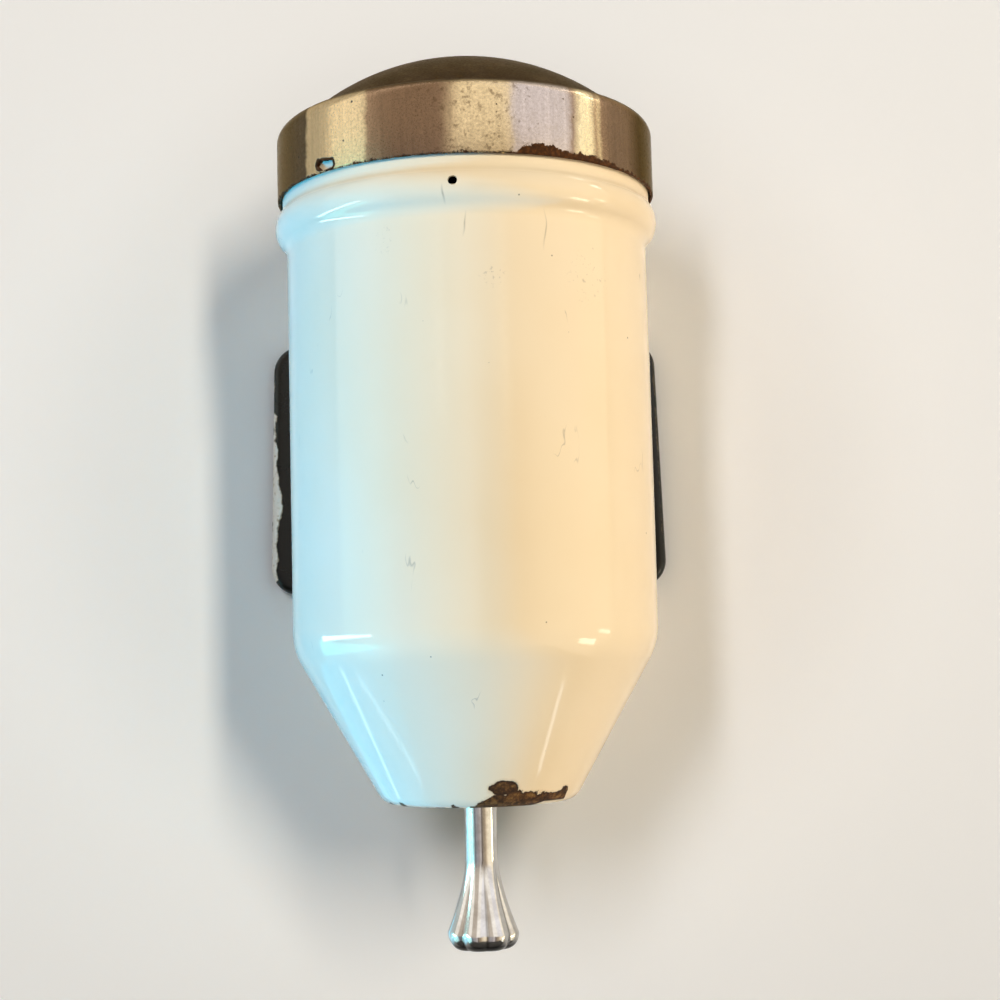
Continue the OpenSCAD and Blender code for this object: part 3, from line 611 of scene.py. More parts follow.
# Zinc-plated steel: a soft grey sheen with duller blotches and raised specks of white bloom.
zinc_steel, tree, shader = new_material("zinc_plated_steel")
place = add(tree, "ShaderNodeTexCoord").outputs["Object"]
blotch = add(
    tree,
    "ShaderNodeTexNoise",
    {"Vector": place, "Scale": 1 / ZINC_BLOTCH, "Detail": 5, "Roughness": 0.6},
)
speck = add(tree, "ShaderNodeTexNoise", {"Vector": place, "Scale": 1 / ZINC_SPECK, "Detail": 2})
zinc = add(
    tree,
    "ShaderNodeValToRGB",
    {"Fac": blotch},
    [(0.3, "#8b8c8c"), (0.55, "#b4b5b4"), (0.75, "#c2c2bf")],
)
bloom = add(
    tree, "ShaderNodeMapRange", {"Value": speck, "From Min": 0.66, "From Max": 0.74, "To Max": 0.5}
)
colour = add(tree, "ShaderNodeMix", {"Factor": bloom, "A": zinc, "B": "#d9d8d2"}, data_type="RGBA")
dull = add(
    tree,
    "ShaderNodeMapRange",
    {"Value": blotch, "From Min": 0.3, "From Max": 0.75, "To Min": 0.5, "To Max": 0.26},
)
relief = add(tree, "ShaderNodeBump", {"Height": speck, "Strength": 0.25, "Distance": FINE_RELIEF})
feed(tree, shader, {"Base Color": colour, "Roughness": dull, "Normal": relief, "Metallic": 1.0})
eased("rivets", "hook_rivets", RIVET_EASE, zinc_steel, "wall_plate")

# Hopper
# A spun steel shell with a conical base and a bead under the lid, enamelled ivory inside and out. Its base
# edge has lost a strip of enamel and rusted there. Plain sizes are in millimetres.
HOPPER_RADIUS = 48.45
HOPPER_WALL = 1.2
CONE_HEIGHT = 40.6
BASE_RADIUS = 25.2
CONE_ROUND = 18
BASE_ROUND = 5
BEAD_HEIGHT = 153.2
BEAD_RADIUS = 51.46
BEAD_ROUND = 6
BEAD_FILLET = 5
NECK_FILLET = 3
NECK_RADIUS = 49.5
NECK_HEIGHT = 177.1
NECK_ROUND = 2
MOUTH_RADIUS = 44.5
OUTLET_RADIUS = 9
HOLE_HEIGHT = 153.6
HOLE_RADIUS = 1.15
HOLE_ANGLE = 4.9
HOLE_DEPTH = 16
ON_AXIS = 0.001
# The strip of lost enamel: the angle from the front in degrees and how high it reaches above the base
# there, the drop below the base from which its height is counted, and the hump on it.
CHIP_RISE = (
    (-70, 0), (-58, 0), (-55, 1.4), (-52, 1.0), (-50, 0), (-20, 0), (-17, 1.2), (-14, 0), (-6, 0),
    (-3, 1.0), (1, 2.2), (4, 3.2), (8, 3.9), (18, 4.3), (24, 3.9), (34, 3.3), (44, 3.2), (49, 3.9),
    (52, 4.6), (54, 3.6), (57, 0), (62, 0),
)
CHIP_DROP = 1
CHIP_FULL = 8
CHIP_GRAIN = 2.2 * MM
HUMP_ANGLE = 11
HUMP_LEVEL = 5
HUMP_SIZE = (3.4, 2)
LIP = 1
LIP_FROM = math.radians(26)
LIP_FULL = math.radians(38)
NIBBLE_SPREAD = 5 * MM
NIBBLE_RISE = (-1 * MM, 2.2 * MM)
UNDER_RIM = 4.5
HALO = 0.7 * MM
# Marks of age: the angle, lower and upper ends of scratches, and the angle, height and reach of bruises.
SCRATCHES = ((21, 137, 148), (-2, 140, 147), (-7, 148, 153))
SCRATCH_HALF = 0.25 * MM
SCRATCH_CORE = 0.05 * MM
SCRATCH_SWAY = 3 * MM
BRUISES = ((37, 131, 8), (6, 131, 4), (-26, 141, 4))
RUST_GRAIN = 1.6 * MM
GLAZE_DRIFT = 45 * MM
PIN_SPACING = 4 * MM
VEIN_SPACING = 9 * MM
VEIN_PATCH = 12 * MM
FLAKE = 0.9 * MM
PEEL = 2.8 * MM
WAVE = 24 * MM
DULL_FROM = 155 * MM
DULL_FULL = 157 * MM


def arc(centre, level, radius, start, end, steps=16):
    """Points of [radius, height] along an arc, with its angles in degrees."""
    turns = [math.radians(start + (end - start) * i / steps) for i in range(steps + 1)]
    return [(centre + radius * math.cos(t), level + radius * math.sin(t)) for t in turns]


def turned(outline, segments=224):
    """A closed outline of [radius, height] in millimetres, turned about the hopper's axis."""
    form = bmesh.new()
    rows = []
    for radius, height in outline:
        middle = Vector((AXIS_X, AXIS_Y, BASE_Z + height * MM))
        if radius < ON_AXIS:
            rows.append([form.verts.new(middle)] * segments)
            continue
        row = []
        for i in range(segments):
            turn = 2 * math.pi * i / segments
            out = Vector((math.sin(turn), -math.cos(turn), 0)) * radius * MM
            row.append(form.verts.new(middle + out))
        rows.append(row)
    for near, far in zip(rows, rows[1:] + rows[:1]):
        for i in range(segments):
            j = (i + 1) % segments
            corners = list(dict.fromkeys((near[i], near[j], far[j], far[i])))
            if len(corners) > 2:
                form.faces.new(corners)
    bmesh.ops.recalc_face_normals(form, faces=form.faces)
    return form


def turned_stand(angle, height):
    """A place on the hopper's axis at a height in millimetres, turned left from the front by an angle."""
    lifted = Matrix.Translation((AXIS_X, AXIS_Y, BASE_Z + height * MM))
    return lifted @ Matrix.Rotation(math.radians(-angle), 4, "Z")


def hopper_side(inset):
    """The hopper's outline from its base to its neck, drawn in by the wall or not at all."""
    cone = math.degrees(math.atan((HOPPER_RADIUS - BASE_RADIUS) / CONE_HEIGHT))
    base_centre = BASE_RADIUS - BASE_ROUND * math.tan(math.radians((90 - cone) / 2))
    cone_level = CONE_HEIGHT + CONE_ROUND * math.tan(math.radians(cone / 2))
    bead_centre = BEAD_RADIUS - BEAD_ROUND
    under = math.acos((HOPPER_RADIUS + BEAD_FILLET - bead_centre) / (BEAD_ROUND + BEAD_FILLET))
    over = math.acos((NECK_RADIUS + NECK_FILLET - bead_centre) / (BEAD_ROUND + NECK_FILLET))
    under_level = BEAD_HEIGHT - (BEAD_ROUND + BEAD_FILLET) * math.sin(under)
    over_level = BEAD_HEIGHT + (BEAD_ROUND + NECK_FILLET) * math.sin(over)
    under = math.degrees(under)
    over = math.degrees(over)
    return (
        arc(base_centre, BASE_ROUND, BASE_ROUND - inset, -90, -cone)
        + arc(HOPPER_RADIUS - CONE_ROUND, cone_level, CONE_ROUND - inset, -cone, 0)
        + arc(HOPPER_RADIUS + BEAD_FILLET, under_level, BEAD_FILLET + inset, 180, 180 - under)
        + arc(bead_centre, BEAD_HEIGHT, BEAD_ROUND - inset, -under, over, 24)[1:]
        + arc(NECK_RADIUS + NECK_FILLET, over_level, NECK_FILLET + inset, 180 + over, 180)[1:]
        + arc(NECK_RADIUS - NECK_ROUND, NECK_HEIGHT - NECK_ROUND, NECK_ROUND - inset, 0, 90)
    )


def about_axis(tree, place):
    """A place counted from the base's middle with y to the front, its height, and its bearing."""
    around = add(
        tree,
        "ShaderNodeVectorMath",
        {0: place, 1: (1, -1, 1), 2: (-AXIS_X, AXIS_Y, -BASE_Z)},
        operation="MULTIPLY_ADD",
    )
    axes = add(tree, "ShaderNodeSeparateXYZ", {"Vector": around})
    bearing = add(
        tree, "ShaderNodeMath", {0: axes.outputs["X"], 1: axes.outputs["Y"]}, operation="ARCTAN2"
    )
    return around, axes.outputs["Z"], bearing


def below_crest(tree, bearing, rise, wander, crests, foot, full):
    """How deep a place lies below a ragged crest, whose angles and heights above a foot are given."""
    first = crests[0][0]
    sweep = crests[-1][0] - first
    share = add(
        tree,
        "ShaderNodeMapRange",
        {"Value": bearing, "From Min": math.radians(first), "From Max": math.radians(first + sweep)},
    )
    stops = [((angle - first) / sweep, height / full) for angle, height in crests]
    crest = add(tree, "ShaderNodeValToRGB", {"Fac": share}, stops)
    level = add(
        tree, "ShaderNodeMath", {0: crest, 1: full * MM, 2: foot * MM}, operation="MULTIPLY_ADD"
    )
    edge = add(tree, "ShaderNodeMath", {0: level, 1: wander}, operation="ADD")
    return add(tree, "ShaderNodeMath", {0: edge, 1: rise}, operation="SUBTRACT")


def pinholes(tree, place, spacing, rarity, size, blur, shows):
    """Round pits at a spacing, with size and blur as shares of it. A higher rarity spares more places."""
    cell = add(tree, "ShaderNodeTexVoronoi", {"Vector": place, "Scale": 1 / spacing})
    chosen = add(tree, "ShaderNodeSeparateColor", {"Color": cell.outputs["Color"]})
    reach = add(
        tree,
        "ShaderNodeMapRange",
        {
            "Value": chosen.outputs["Red"],
            "From Min": rarity,
            "From Max": 1.0,
            "To Min": 0.0,
            "To Max": size,
        },
    )
    depth = add(tree, "ShaderNodeMath", {0: reach, 1: cell.outputs["Distance"]}, operation="SUBTRACT")
    return add(
        tree, "ShaderNodeMapRange", {"Value": depth, "From Min": 0.0, "From Max": blur, "To Max": shows}
    )


# Ivory vitreous enamel: a thick glassy coat over steel, hard and glossy, with slow waves and fine orange
# peel in its reflections, pinholes and hairlines gone brown, and dark edged chips where it is knocked off.
ivory_enamel, tree, shader = new_material("ivory_enamel")
place = add(tree, "ShaderNodeTexCoord").outputs["Object"]
around, rise, bearing = about_axis(tree, place)

# Only the shell's outer side is chipped: there the surface faces away from the axis or down.
surface = add(tree, "ShaderNodeNewGeometry")
flat = add(tree, "ShaderNodeVectorMath", {0: around, 1: (1, -1, 0)}, operation="MULTIPLY")
outward = add(tree, "ShaderNodeVectorMath", {0: flat}, operation="NORMALIZE")
leaning = add(tree, "ShaderNodeVectorMath", {0: outward, 1: (0, 0, -0.5)}, operation="ADD")
turned_out = add(
    tree, "ShaderNodeVectorMath", {0: surface.outputs["Normal"], 1: leaning}, operation="DOT_PRODUCT"
)
outer = add(tree, "ShaderNodeMath", {0: turned_out.outputs["Value"], 1: 0.0}, operation="GREATER_THAN")

# The chip along the base: a strip with a hump, above a lip of enamel at its right end, with nibbles
# elsewhere, and ending a little way under the base.
wander = ragged_line(tree, place, CHIP_GRAIN, 4, 0.62)
chip_crests = [(angle, height + CHIP_DROP) for angle, height in CHIP_RISE]
strip_depth = below_crest(tree, bearing, rise, wander, chip_crests, -CHIP_DROP, CHIP_FULL)
around_hump = add(
    tree, "ShaderNodeMath", {0: bearing, 1: math.radians(HUMP_ANGLE)}, operation="SUBTRACT"
)
hump_x = add(
    tree, "ShaderNodeMath", {0: around_hump, 1: BASE_RADIUS / HUMP_SIZE[0]}, operation="MULTIPLY"
)
hump_z = add(
    tree,
    "ShaderNodeMath",
    {0: rise, 1: 1 / (HUMP_SIZE[1] * MM), 2: -HUMP_LEVEL / HUMP_SIZE[1]},
    operation="MULTIPLY_ADD",
)
hump_at = add(tree, "ShaderNodeCombineXYZ", {"X": hump_x, "Y": 0.0, "Z": hump_z})
hump_out = add(tree, "ShaderNodeVectorMath", {0: hump_at}, operation="LENGTH")
hump_in = add(
    tree,
    "ShaderNodeMath",
    {0: hump_out.outputs["Value"], 1: -HUMP_SIZE[1] * MM, 2: HUMP_SIZE[1] * MM},
    operation="MULTIPLY_ADD",
)
hump_depth = add(tree, "ShaderNodeMath", {0: wander, 1: 0.4, 2: hump_in}, operation="MULTIPLY_ADD")
bare_depth = add(tree, "ShaderNodeMath", {0: strip_depth, 1: hump_depth}, operation="MAXIMUM")
lip_top = add(
    tree,
    "ShaderNodeMapRange",
    {
        "Value": bearing,
        "From Min": LIP_FROM,
        "From Max": LIP_FULL,
        "To Min": -LIP * MM,
        "To Max": LIP * MM,
    },
)
above_lip = add(tree, "ShaderNodeMath", {0: rise, 1: lip_top}, operation="SUBTRACT")
chip_depth = add(tree, "ShaderNodeMath", {0: bare_depth, 1: above_lip}, operation="MINIMUM")
nibble = add(tree, "ShaderNodeTexNoise", {"Vector": place, "Scale": 1 / NIBBLE_SPREAD, "Detail": 2})
nibble_low, nibble_high = NIBBLE_RISE
nibble_rise = add(
    tree,
    "ShaderNodeMapRange",
    {"Value": nibble, "From Min": 0.56, "From Max": 0.76, "To Min": nibble_low, "To Max": nibble_high},
)
nibble_depth = add(tree, "ShaderNodeMath", {0: nibble_rise, 1: rise}, operation="SUBTRACT")
bared = add(tree, "ShaderNodeMath", {0: chip_depth, 1: nibble_depth}, operation="MAXIMUM")
from_axis = add(tree, "ShaderNodeVectorMath", {0: flat}, operation="LENGTH")
under_edge = add(
    tree,
    "ShaderNodeMath",
    {0: from_axis.outputs["Value"], 1: (BASE_RADIUS - UNDER_RIM) * MM},
    operation="SUBTRACT",
)
under_depth = add(tree, "ShaderNodeMath", {0: wander, 1: 1.5, 2: under_edge}, operation="MULTIPLY_ADD")
worn = add(tree, "ShaderNodeMath", {0: bared, 1: under_depth}, operation="MINIMUM")
chip_mask = add(
    tree, "ShaderNodeMapRange", {"Value": worn, "From Min": -0.05 * MM, "From Max": 0.1 * MM}
)
chip = add(tree, "ShaderNodeMath", {0: chip_mask, 1: outer}, operation="MULTIPLY")

# Rust in the chip, darkest at its edge, and a brown stain round it in the ivory glaze.
rust_grain = add(
    tree,
    "ShaderNodeTexNoise",
    {"Vector": place, "Scale": 1 / RUST_GRAIN, "Detail": 6, "Roughness": 0.7},
)
rust = add(
    tree,
    "ShaderNodeValToRGB",
    {"Fac": rust_grain},
    [(0.34, "#1e1209"), (0.47, "#402813"), (0.58, "#6a4826"), (0.72, "#96733f")],
)
rim = add(tree, "ShaderNodeMapRange", {"Value": worn, "From Min": 0.15 * MM, "From Max": 0.7 * MM})
rust_edged = add(tree, "ShaderNodeMix", {"Factor": rim, "A": "#2a1a10", "B": rust}, data_type="RGBA")
halo_mask = add(
    tree,
    "ShaderNodeMapRange",
    {"Value": worn, "From Min": -HALO, "From Max": 0.0, "To Max": 0.3},
    interpolation_type="SMOOTHSTEP",
)
halo = add(tree, "ShaderNodeMath", {0: halo_mask, 1: outer}, operation="MULTIPLY")
slow = add(tree, "ShaderNodeTexNoise", {"Vector": place, "Scale": 1 / GLAZE_DRIFT, "Detail": 3})
glaze = add(tree, "ShaderNodeValToRGB", {"Fac": slow}, [(0.3, "#f1dcb6"), (0.7, "#f4e2c0")])
stained = add(tree, "ShaderNodeMix", {"Factor": halo, "A": glaze, "B": "#cfae7c"}, data_type="RGBA")

# Pinholes, hairlines in a few patches, single scratches, and bruises that flake.
pinhole = pinholes(tree, place, PIN_SPACING, 0.78, 0.08, 0.03, 0.7)
stretched = add(tree, "ShaderNodeVectorMath", {0: place, 1: (1, 1, 0.3)}, operation="MULTIPLY")
vein = add(tree, "ShaderNodeTexNoise", {"Vector": stretched, "Scale": 1 / VEIN_SPACING, "Detail": 3})
vein_off = add(tree, "ShaderNodeMath", {0: vein, 1: 0.5}, operation="SUBTRACT")
vein_near = add(tree, "ShaderNodeMath", {0: vein_off}, operation="ABSOLUTE")
hairline = add(
    tree, "ShaderNodeMapRange", {"Value": vein_near, "From Min": 0.006, "From Max": 0.0, "To Max": 0.35}
)
patch = add(tree, "ShaderNodeTexNoise", {"Vector": place, "Scale": 1 / VEIN_PATCH, "Detail": 1})
patchy = add(tree, "ShaderNodeMapRange", {"Value": patch, "From Min": 0.68, "From Max": 0.72})
scratch = add(tree, "ShaderNodeMath", {0: hairline, 1: patchy}, operation="MULTIPLY")
mark = add(tree, "ShaderNodeMath", {0: pinhole, 1: scratch}, operation="MAXIMUM")
sway = add(
    tree, "ShaderNodeMapRange", {"Value": patch, "To Min": -SCRATCH_SWAY, "To Max": SCRATCH_SWAY}
)
for angle, low, high in SCRATCHES:
    turn_off = add(tree, "ShaderNodeMath", {0: bearing, 1: math.radians(angle)}, operation="SUBTRACT")
    along = add(
        tree, "ShaderNodeMath", {0: turn_off, 1: HOPPER_RADIUS * MM, 2: sway}, operation="MULTIPLY_ADD"
    )
    beside = add(tree, "ShaderNodeMath", {0: along}, operation="ABSOLUTE")
    line = add(
        tree,
        "ShaderNodeMapRange",
        {"Value": beside, "From Min": SCRATCH_HALF, "From Max": SCRATCH_CORE, "To Max": 0.4},
    )
    from_middle = add(tree, "ShaderNodeMath", {0: rise, 1: (low + high) / 2 * MM}, operation="SUBTRACT")
    apart = add(tree, "ShaderNodeMath", {0: from_middle}, operation="ABSOLUTE")
    half = (high - low) / 2 * MM
    span = add(tree, "ShaderNodeMapRange", {"Value": apart, "From Min": half, "From Max": 0.0})
    scored = add(tree, "ShaderNodeMath", {0: line, 1: span}, operation="MULTIPLY")
    mark = add(tree, "ShaderNodeMath", {0: mark, 1: scored}, operation="MAXIMUM")
flake = add(tree, "ShaderNodeTexNoise", {"Vector": place, "Scale": 1 / FLAKE, "Detail": 3})
flaking = add(
    tree, "ShaderNodeMapRange", {"Value": flake, "From Min": 0.6, "From Max": 0.7, "To Max": 0.4}
)
for angle, level, reach in BRUISES:
    turn = math.radians(angle)
    spot = (math.sin(turn) * HOPPER_RADIUS * MM, math.cos(turn) * HOPPER_RADIUS * MM, level * MM)
    away = add(tree, "ShaderNodeVectorMath", {0: around, 1: spot}, operation="DISTANCE")
    close = add(
        tree,
        "ShaderNodeMapRange",
        {"Value": away.outputs["Value"], "From Min": reach * MM, "From Max": 0.0},
    )
    bruise = add(tree, "ShaderNodeMath", {0: flaking, 1: close}, operation="MULTIPLY")
    mark = add(tree, "ShaderNodeMath", {0: mark, 1: bruise}, operation="MAXIMUM")
marked = add(tree, "ShaderNodeMix", {"Factor": mark, "A": stained, "B": "#4e3f2c"}, data_type="RGBA")
colour = add(tree, "ShaderNodeMix", {"Factor": chip, "A": marked, "B": rust_edged}, data_type="RGBA")

# The gloss is gone from the neck, where the lid rubs.
gloss = add(
    tree,
    "ShaderNodeMapRange",
    {"Value": rise, "From Min": DULL_FROM, "From Max": DULL_FULL, "To Min": 0.07, "To Max": 0.4},
    interpolation_type="SMOOTHSTEP",
)
roughness = add(tree, "ShaderNodeMix", {"Factor": chip, "A": gloss, "B": 0.8})
peel = add(tree, "ShaderNodeTexNoise", {"Vector": place, "Scale": 1 / PEEL, "Detail": 1})
wave = add(tree, "ShaderNodeTexNoise", {"Vector": place, "Scale": 1 / WAVE, "Detail": 1})
wavy = add(tree, "ShaderNodeMath", {0: wave, 1: 9.0, 2: peel}, operation="MULTIPLY_ADD")
pitted = add(tree, "ShaderNodeMath", {0: rust_grain, 1: 10.0, 2: -16.0}, operation="MULTIPLY_ADD")
height = add(tree, "ShaderNodeMix", {"Factor": chip, "A": wavy, "B": pitted})
relief = add(tree, "ShaderNodeBump", {"Height": height, "Strength": 0.7, "Distance": FINE_RELIEF})
feed(tree, shader, {"Base Color": colour, "Roughness": roughness, "Normal": relief, "IOR": 1.5})

mouth_round = HOPPER_WALL / 2
mouth = arc(MOUTH_RADIUS + mouth_round, NECK_HEIGHT - mouth_round, mouth_round, 90, 270, 8)
outlet = [(OUTLET_RADIUS, HOPPER_WALL), (OUTLET_RADIUS, 0)]
shell = turned(hopper_side(0) + mouth + hopper_side(HOPPER_WALL)[::-1] + outlet)
hopper = new_piece("hopper", shell, ivory_enamel)
hole = bmesh.new()
stand = turned_stand(HOLE_ANGLE, HOLE_HEIGHT) @ Matrix.Translation((0, -BEAD_RADIUS * MM, 0))
drilled(hole, HOLE_RADIUS * MM, HOLE_DEPTH * MM, stand @ Matrix.Rotation(math.radians(90), 4, "X"))
carve(hopper, hole)
given_to(hopper, "hopper", "hopper_shell")

# Hanger strap and bridge lugs
# A flat steel strap on two feet welded to the hopper's back, and two angle lugs welded inside it, enamelled
# together with the shell.
eased("strap", "hanger_strap", EASE, ivory_enamel, "hopper")
eased("lugs", "bridge_lugs", EASE, ivory_enamel, "hopper")

# Outlet seat
# A turned brass ring swaged into the base. The valve washer closes on its upper face, and the knob's shank
# passes through its bore.
BRASS_BLOTCH = 5 * MM
TOOL_RINGS = 0.5 * MM

# Turned brass: warm yellow with rings left by the tool, browned by damp in patches. The rings are drawn
# coarser than a real lathe leaves them, so that they show.
turned_brass, tree, shader = new_material("turned_brass")
place = add(tree, "ShaderNodeTexCoord").outputs["Object"]
blotch = add(tree, "ShaderNodeTexNoise", {"Vector": place, "Scale": 1 / BRASS_BLOTCH, "Detail": 5})
brown = add(
    tree,
    "ShaderNodeValToRGB",
    {"Fac": blotch},
    [(0.32, "#6d4f2a"), (0.5, "#b28a4a"), (0.72, "#d2ab65")],
)
around = add(tree, "ShaderNodeVectorMath", {0: place, 1: (AXIS_X, AXIS_Y, 0)}, operation="SUBTRACT")
flat = add(tree, "ShaderNodeVectorMath", {0: around, 1: (1, 1, 0)}, operation="MULTIPLY")
out = add(tree, "ShaderNodeVectorMath", {0: flat}, operation="LENGTH")
axes = add(tree, "ShaderNodeSeparateXYZ", {"Vector": around})
cut_at = add(
    tree, "ShaderNodeCombineXYZ", {"X": out.outputs["Value"], "Y": 0.0, "Z": axes.outputs["Z"]}
)
rings = add(tree, "ShaderNodeTexNoise", {"Vector": cut_at, "Scale": 1 / TOOL_RINGS, "Detail": 2})
dull = add(
    tree,
    "ShaderNodeMapRange",
    {"Value": blotch, "From Min": 0.3, "From Max": 0.75, "To Min": 0.5, "To Max": 0.25},
)
relief = add(tree, "ShaderNodeBump", {"Height": rings, "Strength": 0.3, "Distance": FINE_RELIEF})
feed(tree, shader, {"Base Color": brown, "Roughness": dull, "Normal": relief, "Metallic": 1.0})
eased("seat", "outlet_seat", EASE, turned_brass, "hopper")

# Push knob
# The chromed knob that the palm pushes up: a round shank through the outlet, flaring into eight soft lobes
# with creases between them, screwed to the spindle's foot. Plain sizes are in millimetres.
SHANK_RADIUS = 4.3
SHANK_FOOT = -15
SHANK_TOP = 3.2
SHANK_ROUND = 0.3
SOCKET_RADIUS = 2.52
SOCKET_FOOT = -12
FLARE_FOOT = -34
FLARE_RADIUS = 9.6
FLARE_CURVE = 1.5
FLARE_STEPS = 24
KNOB_FOOT = -38.2
KNOB_FLAT = 6
KNOB_STEPS = 10
LOBES = 8
LOBE_STEPS = 20
LOBE_TURN = math.radians(16.5)
GROOVE = 1.1
CREASE_ROUND = 0.02
CREASE_SHADE_FROM = SHANK_FOOT - 1
CREASE_SHADE_FULL = SHANK_FOOT - 8
HAZE_PATCH = 6 * MM
WIPE_MARK = 0.7 * MM


def knob_ring(radius, groove, height):
    """One lobed ring of the knob, in millimetres."""
    ring = []
    for i in range(LOBES * LOBE_STEPS):
        turn = 2 * math.pi * i / (LOBES * LOBE_STEPS)
        swell = math.sqrt(math.cos(turn * LOBES / 2) ** 2 + CREASE_ROUND)
        out = radius - groove * (1 - min(swell, 1))
        across = AXIS_X + out * math.sin(turn - LOBE_TURN) * MM
        deep = AXIS_Y - out * math.cos(turn - LOBE_TURN) * MM
        ring.append((across, deep, BASE_Z + height * MM))
    return ring


# Chrome plate over brass: a cool mirror with hazy patches and wipe marks (drawn coarse, so that they
# show), with painted shade in the flare's creases and on the faces turned down under the foot.
chrome, tree, shader = new_material("chrome_plate")
place = add(tree, "ShaderNodeTexCoord").outputs["Object"]
around, rise, bearing = about_axis(tree, place)
haze = add(
    tree,
    "ShaderNodeTexNoise",
    {"Vector": place, "Scale": 1 / HAZE_PATCH, "Detail": 5, "Roughness": 0.65},
)
tone = add(tree, "ShaderNodeValToRGB", {"Fac": haze}, [(0.3, "#bdb9b4"), (0.6, "#dcdbd9")])
# Painted shade: the creases between the lobes darken below the shank.
lobe = add(
    tree,
    "ShaderNodeMath",
    {0: bearing, 1: LOBES / 2, 2: LOBE_TURN * LOBES / 2},
    operation="MULTIPLY_ADD",
)
ridge = add(tree, "ShaderNodeMath", {0: lobe}, operation="COSINE")
swell = add(tree, "ShaderNodeMath", {0: ridge}, operation="ABSOLUTE")
crease = add(
    tree, "ShaderNodeMapRange", {"Value": swell, "From Min": 0.3, "From Max": 0.0, "To Max": 0.6}
)
down = add(
    tree, "ShaderNodeMapRange", {"Value": rise, "From Min": CREASE_SHADE_FROM * MM, "From Max": CREASE_SHADE_FULL * MM}
)
crease_shade = add(tree, "ShaderNodeMath", {0: crease, 1: down}, operation="MULTIPLY")
crease_shaded = add(tree, "ShaderNodeMix", {"Factor": crease_shade, "A": tone, "B": "#3a3630"}, data_type="RGBA")
# Painted shade: faces turned down under the foot are darkened.
surface = add(tree, "ShaderNodeNewGeometry")
facing = add(tree, "ShaderNodeSeparateXYZ", {"Vector": surface.outputs["Normal"]})
underside_shade = add(
    tree,
    "ShaderNodeMapRange",
    {"Value": facing.outputs["Z"], "From Min": -0.2, "From Max": -0.6, "To Max": 0.95},
)
under_shaded = add(tree, "ShaderNodeMix", {"Factor": underside_shade, "A": crease_shaded, "B": "#2c2c2c"}, data_type="RGBA")
dull = add(
    tree,
    "ShaderNodeMapRange",
    {"Value": haze, "From Min": 0.35, "From Max": 0.75, "To Min": 0.2, "To Max": 0.07},
)
wipe_at = add(tree, "ShaderNodeVectorMath", {0: place, 1: (1, 1, 0.15)}, operation="MULTIPLY")
wipe = add(tree, "ShaderNodeTexNoise", {"Vector": wipe_at, "Scale": 1 / WIPE_MARK, "Detail": 3})
relief = add(tree, "ShaderNodeBump", {"Height": wipe, "Strength": 0.25, "Distance": FINE_RELIEF})
feed(tree, shader, {"Base Color": under_shaded, "Roughness": dull, "Normal": relief, "Metallic": 1.0})

rings = []
for step in range(KNOB_STEPS, 0, -1):
    turn = math.radians(90 * step / KNOB_STEPS)
    out = KNOB_FLAT + (FLARE_RADIUS - KNOB_FLAT) * math.cos(turn)
    height = FLARE_FOOT + (KNOB_FOOT - FLARE_FOOT) * math.sin(turn)
    rings.append(knob_ring(out, GROOVE * out / FLARE_RADIUS, height))
for step in range(FLARE_STEPS, 0, -1):
    share = step / FLARE_STEPS
    out = SHANK_RADIUS + (FLARE_RADIUS - SHANK_RADIUS) * share**FLARE_CURVE
    rings.append(knob_ring(out, GROOVE * share, SHANK_FOOT + (FLARE_FOOT - SHANK_FOOT) * share))
rings.append(knob_ring(SHANK_RADIUS, 0, SHANK_FOOT))
rings.append(knob_ring(SHANK_RADIUS, 0, SHANK_TOP - SHANK_ROUND))
rings.append(knob_ring(SHANK_RADIUS - SHANK_ROUND, 0, SHANK_TOP))
rings.append(knob_ring(SOCKET_RADIUS, 0, SHANK_TOP))
rings.append(knob_ring(SOCKET_RADIUS, 0, SOCKET_FOOT))
knob = new_piece("knob", lofted(rings), chrome)
given_to(knob, "plunger", "push_knob")
# The front lamps shine through the slim knob, so that the wall below the base stays clear of its shadows.
shadowless = bpy.data.collections.new("shadowless")
spare(shadowless, knob)
for lamp in front_lamps:
    lamp.light_linking.blocker_collection = shadowless

# Spindle, valve and agitators
# A steel rod from the knob up through the guide, with a rubber valve washer backed by a disc and a brass
# nut, and two bent wires through it that break up caked powder.
RUBBER_GRAIN = 0.6 * MM
RUBBER_DUST = 7 * MM
RUBBER_RELIEF = 0.05 * MM
eased("spindle_rod", "spindle", FINE_EASE, zinc_steel, "plunger")
eased("disc", "valve_disc", EASE, zinc_steel, "plunger")
eased("clamp_nut", "valve_nut", EASE, turned_brass, "plunger")
eased("stirrer_low", "lower_agitator", EASE, zinc_steel, "plunger")
eased("stirrer_high", "upper_agitator", EASE, zinc_steel, "plunger")

# Moulded rubber: matt black and slightly crumbled, greyed by powder in patches.
rubber, tree, shader = new_material("moulded_rubber")
place = add(tree, "ShaderNodeTexCoord").outputs["Object"]
grain = add(tree, "ShaderNodeTexNoise", {"Vector": place, "Scale": 1 / RUBBER_GRAIN, "Detail": 4})
dust = add(tree, "ShaderNodeTexNoise", {"Vector": place, "Scale": 1 / RUBBER_DUST, "Detail": 4})
tone = add(tree, "ShaderNodeValToRGB", {"Fac": dust}, [(0.4, "#1d1b1a"), (0.7, "#4a4641")])
dull = add(tree, "ShaderNodeMapRange", {"Value": grain, "To Min": 0.65, "To Max": 0.9})
relief = add(tree, "ShaderNodeBump", {"Height": grain, "Strength": 0.4, "Distance": RUBBER_RELIEF})
feed(tree, shader, {"Base Color": tone, "Roughness": dull, "Normal": relief})
eased("washer", "valve_washer", EASE, rubber, "plunger")

